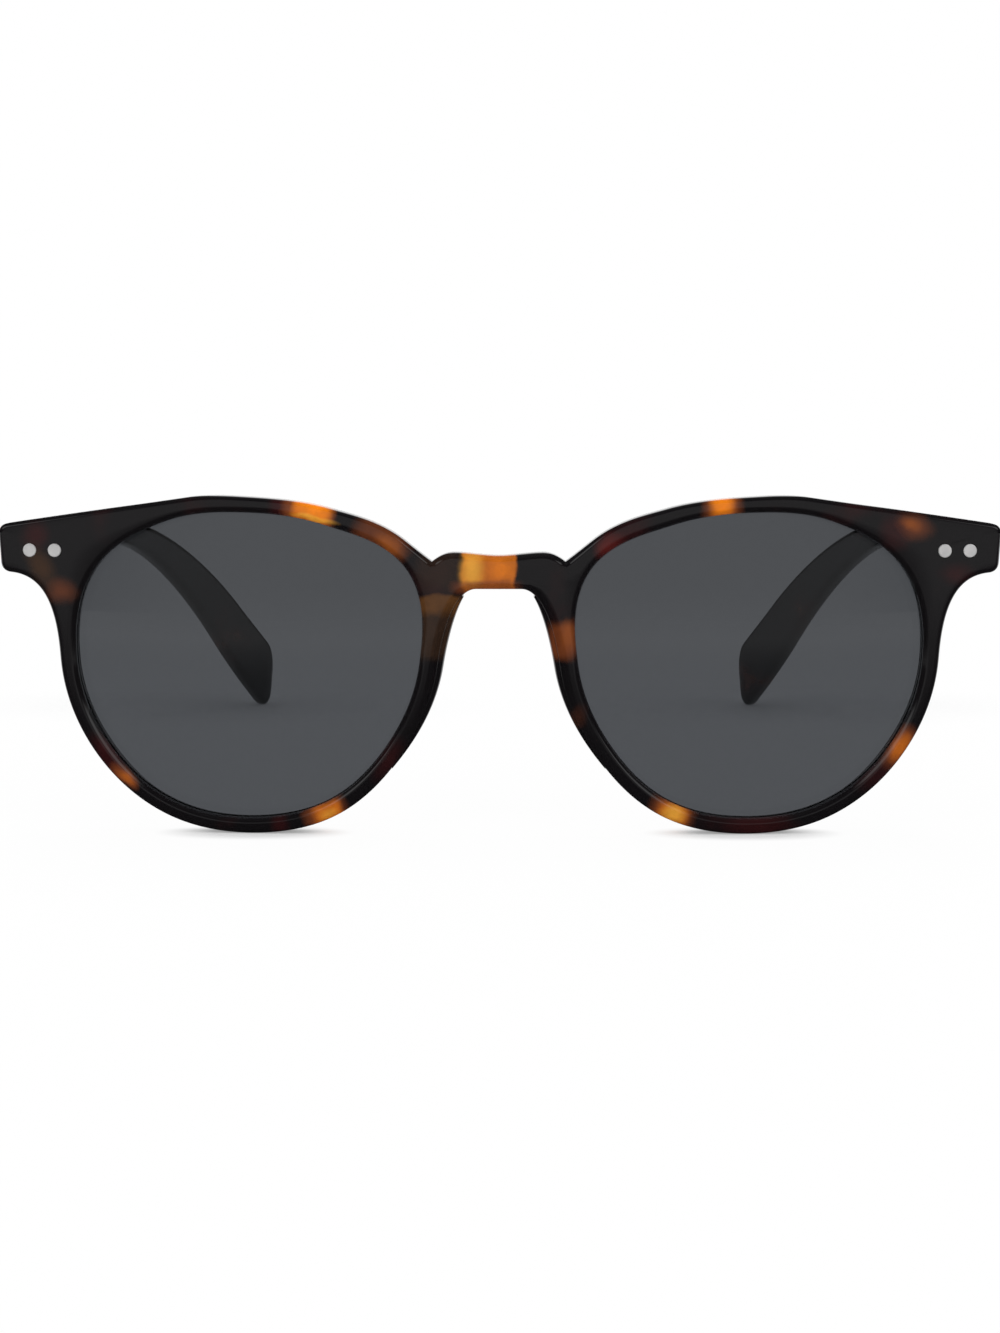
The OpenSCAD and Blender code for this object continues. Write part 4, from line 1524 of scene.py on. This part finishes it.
@dataclass(frozen=True)
class Studio:
    """A plain pale floor, soft light and a camera where the photograph was taken, all in metres."""

    camera_at: Triple = (0.0032, -0.3673, 0.0615)
    aim_at: Triple = (0.0002, -0.0673, 0.0242)
    lens: float = 57.96
    sensor: float = 36.0
    clip: float = 0.01
    lamps: tuple[Lamp, ...] = (
        Lamp("top_soft", (0.0, 0.06, 0.42), (0.5, 0.34), 0.75),
        Lamp("left_soft", (-0.6, -0.55, 0.55), (0.5, 0.5), 1.6),
        Lamp("right_soft", (0.6, -0.55, 0.55), (0.5, 0.5), 1.6),
    )
    fill: float = 0.62
    dim_room: float = 0.02
    front_room: float = 0.3
    ceiling: float = 0.06
    window: float = 1.0
    window_way: Triple = (0.68, -0.51, 0.53)
    floor_half: float = 3.0
    floor_drop: float = 0.00002
    floor_glow: float = 0.9
    floor_tones: tuple[Triple, Triple] = ((0.93, 0.93, 0.93), (0.91, 0.91, 0.91))
    shadows: tuple[Shadow, ...] = (
        Shadow((0.035, -0.0655), (2.6, 1.0), 0.002, 0.0062, 0.3),
        Shadow((0.056, 0.064), (1.6, 0.8), 0.01, 0.042, 0.3),
        Shadow((0.0, 0.0), (1.0, 1.0), 0.11, 0.24, 0.96),
    )

    def shown(self, g: Graph) -> Socket:
        """1 for rays that show the background, straight or through a lens."""
        path = g.add("ShaderNodeLightPath").outputs
        return g.maths("MAXIMUM", path["Is Camera Ray"], path["Is Transmission Ray"])

    def mirrored(self, g: Graph) -> Socket:
        """Tells reflections from what is seen straight or through a lens.

        Args:
            g: The graph that asks.

        Returns:
            1 for rays that show the room as a reflection.
        """
        path = g.add("ShaderNodeLightPath").outputs
        straight = g.maths("SUBTRACT", 1.0, path["Is Transmission Ray"])
        return g.maths("MULTIPLY", path["Is Glossy Ray"], straight)

    def build(self) -> None:
        """Builds the camera, the lamps, the world and the floor."""
        scene = bpy.context.scene
        data = bpy.data.cameras.new("camera")
        data.lens = self.lens
        data.sensor_width = self.sensor
        data.clip_start = self.clip
        camera = bpy.data.objects.new("camera", data)
        camera.location = self.camera_at
        look = Vector(self.aim_at) - Vector(self.camera_at)
        camera.rotation_euler = look.to_track_quat("-Z", "Y").to_euler()
        scene.collection.objects.link(camera)
        scene.camera = camera
        for lamp in self.lamps:
            lamp.build()
        self.world()
        self.floor()
        scene.view_settings.view_transform = "Standard"

    def world(self) -> None:
        """A white backdrop behind the object, a dim room in front of it, and even fill light."""
        made = bpy.data.worlds.new("room")
        bpy.context.scene.world = made
        made.use_nodes = True
        g = Graph(made.node_tree)
        parts = g.add("ShaderNodeSeparateXYZ", {0: g.add("ShaderNodeTexCoord").outputs["Generated"]}).outputs
        y = parts["Y"]
        aside = g.maths("ABSOLUTE", parts["X"])
        behind = g.maths("MULTIPLY", g.ramp(y, 0.3, 0.8), g.ramp(aside, 0.19, 0.145))
        above = g.ramp(parts["Z"], 0.8, 0.97, 0.0, self.ceiling)
        ahead = g.ramp(y, -0.75, -0.95, self.dim_room, self.front_room)
        halves = g.add("ShaderNodeCombineXYZ", {0: aside, 1: y, 2: parts["Z"]}).outputs[0]
        windows = g.ramp(g.vector("DOT_PRODUCT", halves, self.window_way), 0.94, 0.98, 0.0, self.window)
        glow = g.maths("MAXIMUM", g.maths("MAXIMUM", behind, above), g.maths("MAXIMUM", ahead, windows))
        fill = g.light("ShaderNodeBackground", self.fill)
        unseen = g.choose(self.mirrored(g), fill, g.light("ShaderNodeBackground", glow))
        both = g.choose(self.shown(g), unseen, g.light("ShaderNodeBackground", 1.0))
        g.add("ShaderNodeOutputWorld", {"Surface": both})

    def floor(self) -> None:
        """A plain floor that shows white and keeps the object's soft shadow."""
        h = self.floor_half
        mesh = bpy.data.meshes.new("floor")
        mesh.from_pydata([(-h, -h, 0), (h, -h, 0), (h, h, 0), (-h, h, 0)], [], [(0, 1, 2, 3)])
        floor = bpy.data.objects.new("floor", mesh)
        bpy.context.scene.collection.objects.link(floor)
        floor.location.z = -self.floor_drop
        made, g = new_material("pale_floor")
        place = g.place()
        pale = g.blend(g.ramp(g.noise(place, 900.0), 0.3, 0.7), *self.floor_tones)
        parts = g.add("ShaderNodeSeparateXYZ", {0: place}).outputs
        y = parts["Y"]
        halves = g.add("ShaderNodeCombineXYZ", {0: g.maths("ABSOLUTE", parts["X"]), 1: y}).outputs[0]
        white: SocketValue = 1.0
        for s in self.shadows:
            wires = {"Vector": halves, "Location": (*s.middle, 0.0), "Scale": (*s.stretch, 1.0)}
            far = g.vector("LENGTH", g.add("ShaderNodeMapping", wires, vector_type="TEXTURE").outputs[0])
            white = g.maths("MINIMUM", white, g.ramp(far, s.inner, s.outer, s.white, 1.0))
        matt = g.add("ShaderNodeBsdfDiffuse", {"Color": pale}).outputs[0]
        seen = g.choose(g.maths("MULTIPLY", self.shown(g), white), matt, g.light("ShaderNodeEmission", 1.0))
        behind = g.ramp(y, -0.05, 0.0, self.dim_room, self.floor_glow)
        ahead = g.ramp(y, -0.1, -0.5, self.dim_room, self.front_room)
        glow = g.light("ShaderNodeEmission", g.maths("MAXIMUM", behind, ahead))
        both = g.choose(self.mirrored(g), seen, glow)
        g.add("ShaderNodeOutputMaterial", {"Surface": both})
        dress(floor, made)


# Assembly

# For each word in a metal node's name, its material slot in the record and its finish
METALS = {
    "rivet": ("rivet_metal", MetalFinish(
        "rivet_satin", (0.92, 0.90, 0.895), (0.78, 0.77, 0.77), gloss=0.42, relief=0.4, metallic=0.5)),
    "leaf": ("hinge_metal", MetalFinish(
        "leaf_nickel_silver", (0.60, 0.58, 0.55), (0.44, 0.43, 0.41), (1.0, 4.0, 1.0), 0.26)),
    "screw": ("screw_metal", MetalFinish(
        "screw_steel", (0.62, 0.62, 0.63), (0.42, 0.42, 0.43), (1.0, 1.0, 8.0), 0.2)),
    "core_wire": ("core_metal", MetalFinish(
        "core_wire_steel", (0.55, 0.55, 0.54), (0.40, 0.40, 0.39), (4.0, 0.5, 4.0), 0.3)),
}


def main() -> None:
    """Builds and dresses the sunglasses."""
    logging.basicConfig(level=logging.INFO, format="%(name)s: %(message)s")
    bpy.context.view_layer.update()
    effects = Effects()
    plan = FrontPlan()
    Studio().build()

    acetate = AcetateFinish("tortoise_acetate", effects.tortoise).material(effects)
    lenses = Lenses(plan, LensFinish("sun_lens").material(effects))
    front = Front(plan, lenses, acetate)
    temples = Temples(plan, AcetateFinish("temple_acetate", effects.mottle).material(effects))
    hardware = HingeHardware(plan, temples)

    front.build(hardware.front_cutters())
    for side in Side:
        front.build_pad(side)
        lenses.build(side)
        temples.build(side, hardware.temple_cutters(side))

    for word, (slot, finish) in METALS.items():
        material = finish.material(effects)
        for name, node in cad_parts.items():
            if word in name:
                dress(node, material)
        log.info("%s: dressed as %s", word, finish.name)


if __name__ == "__main__":
    main()
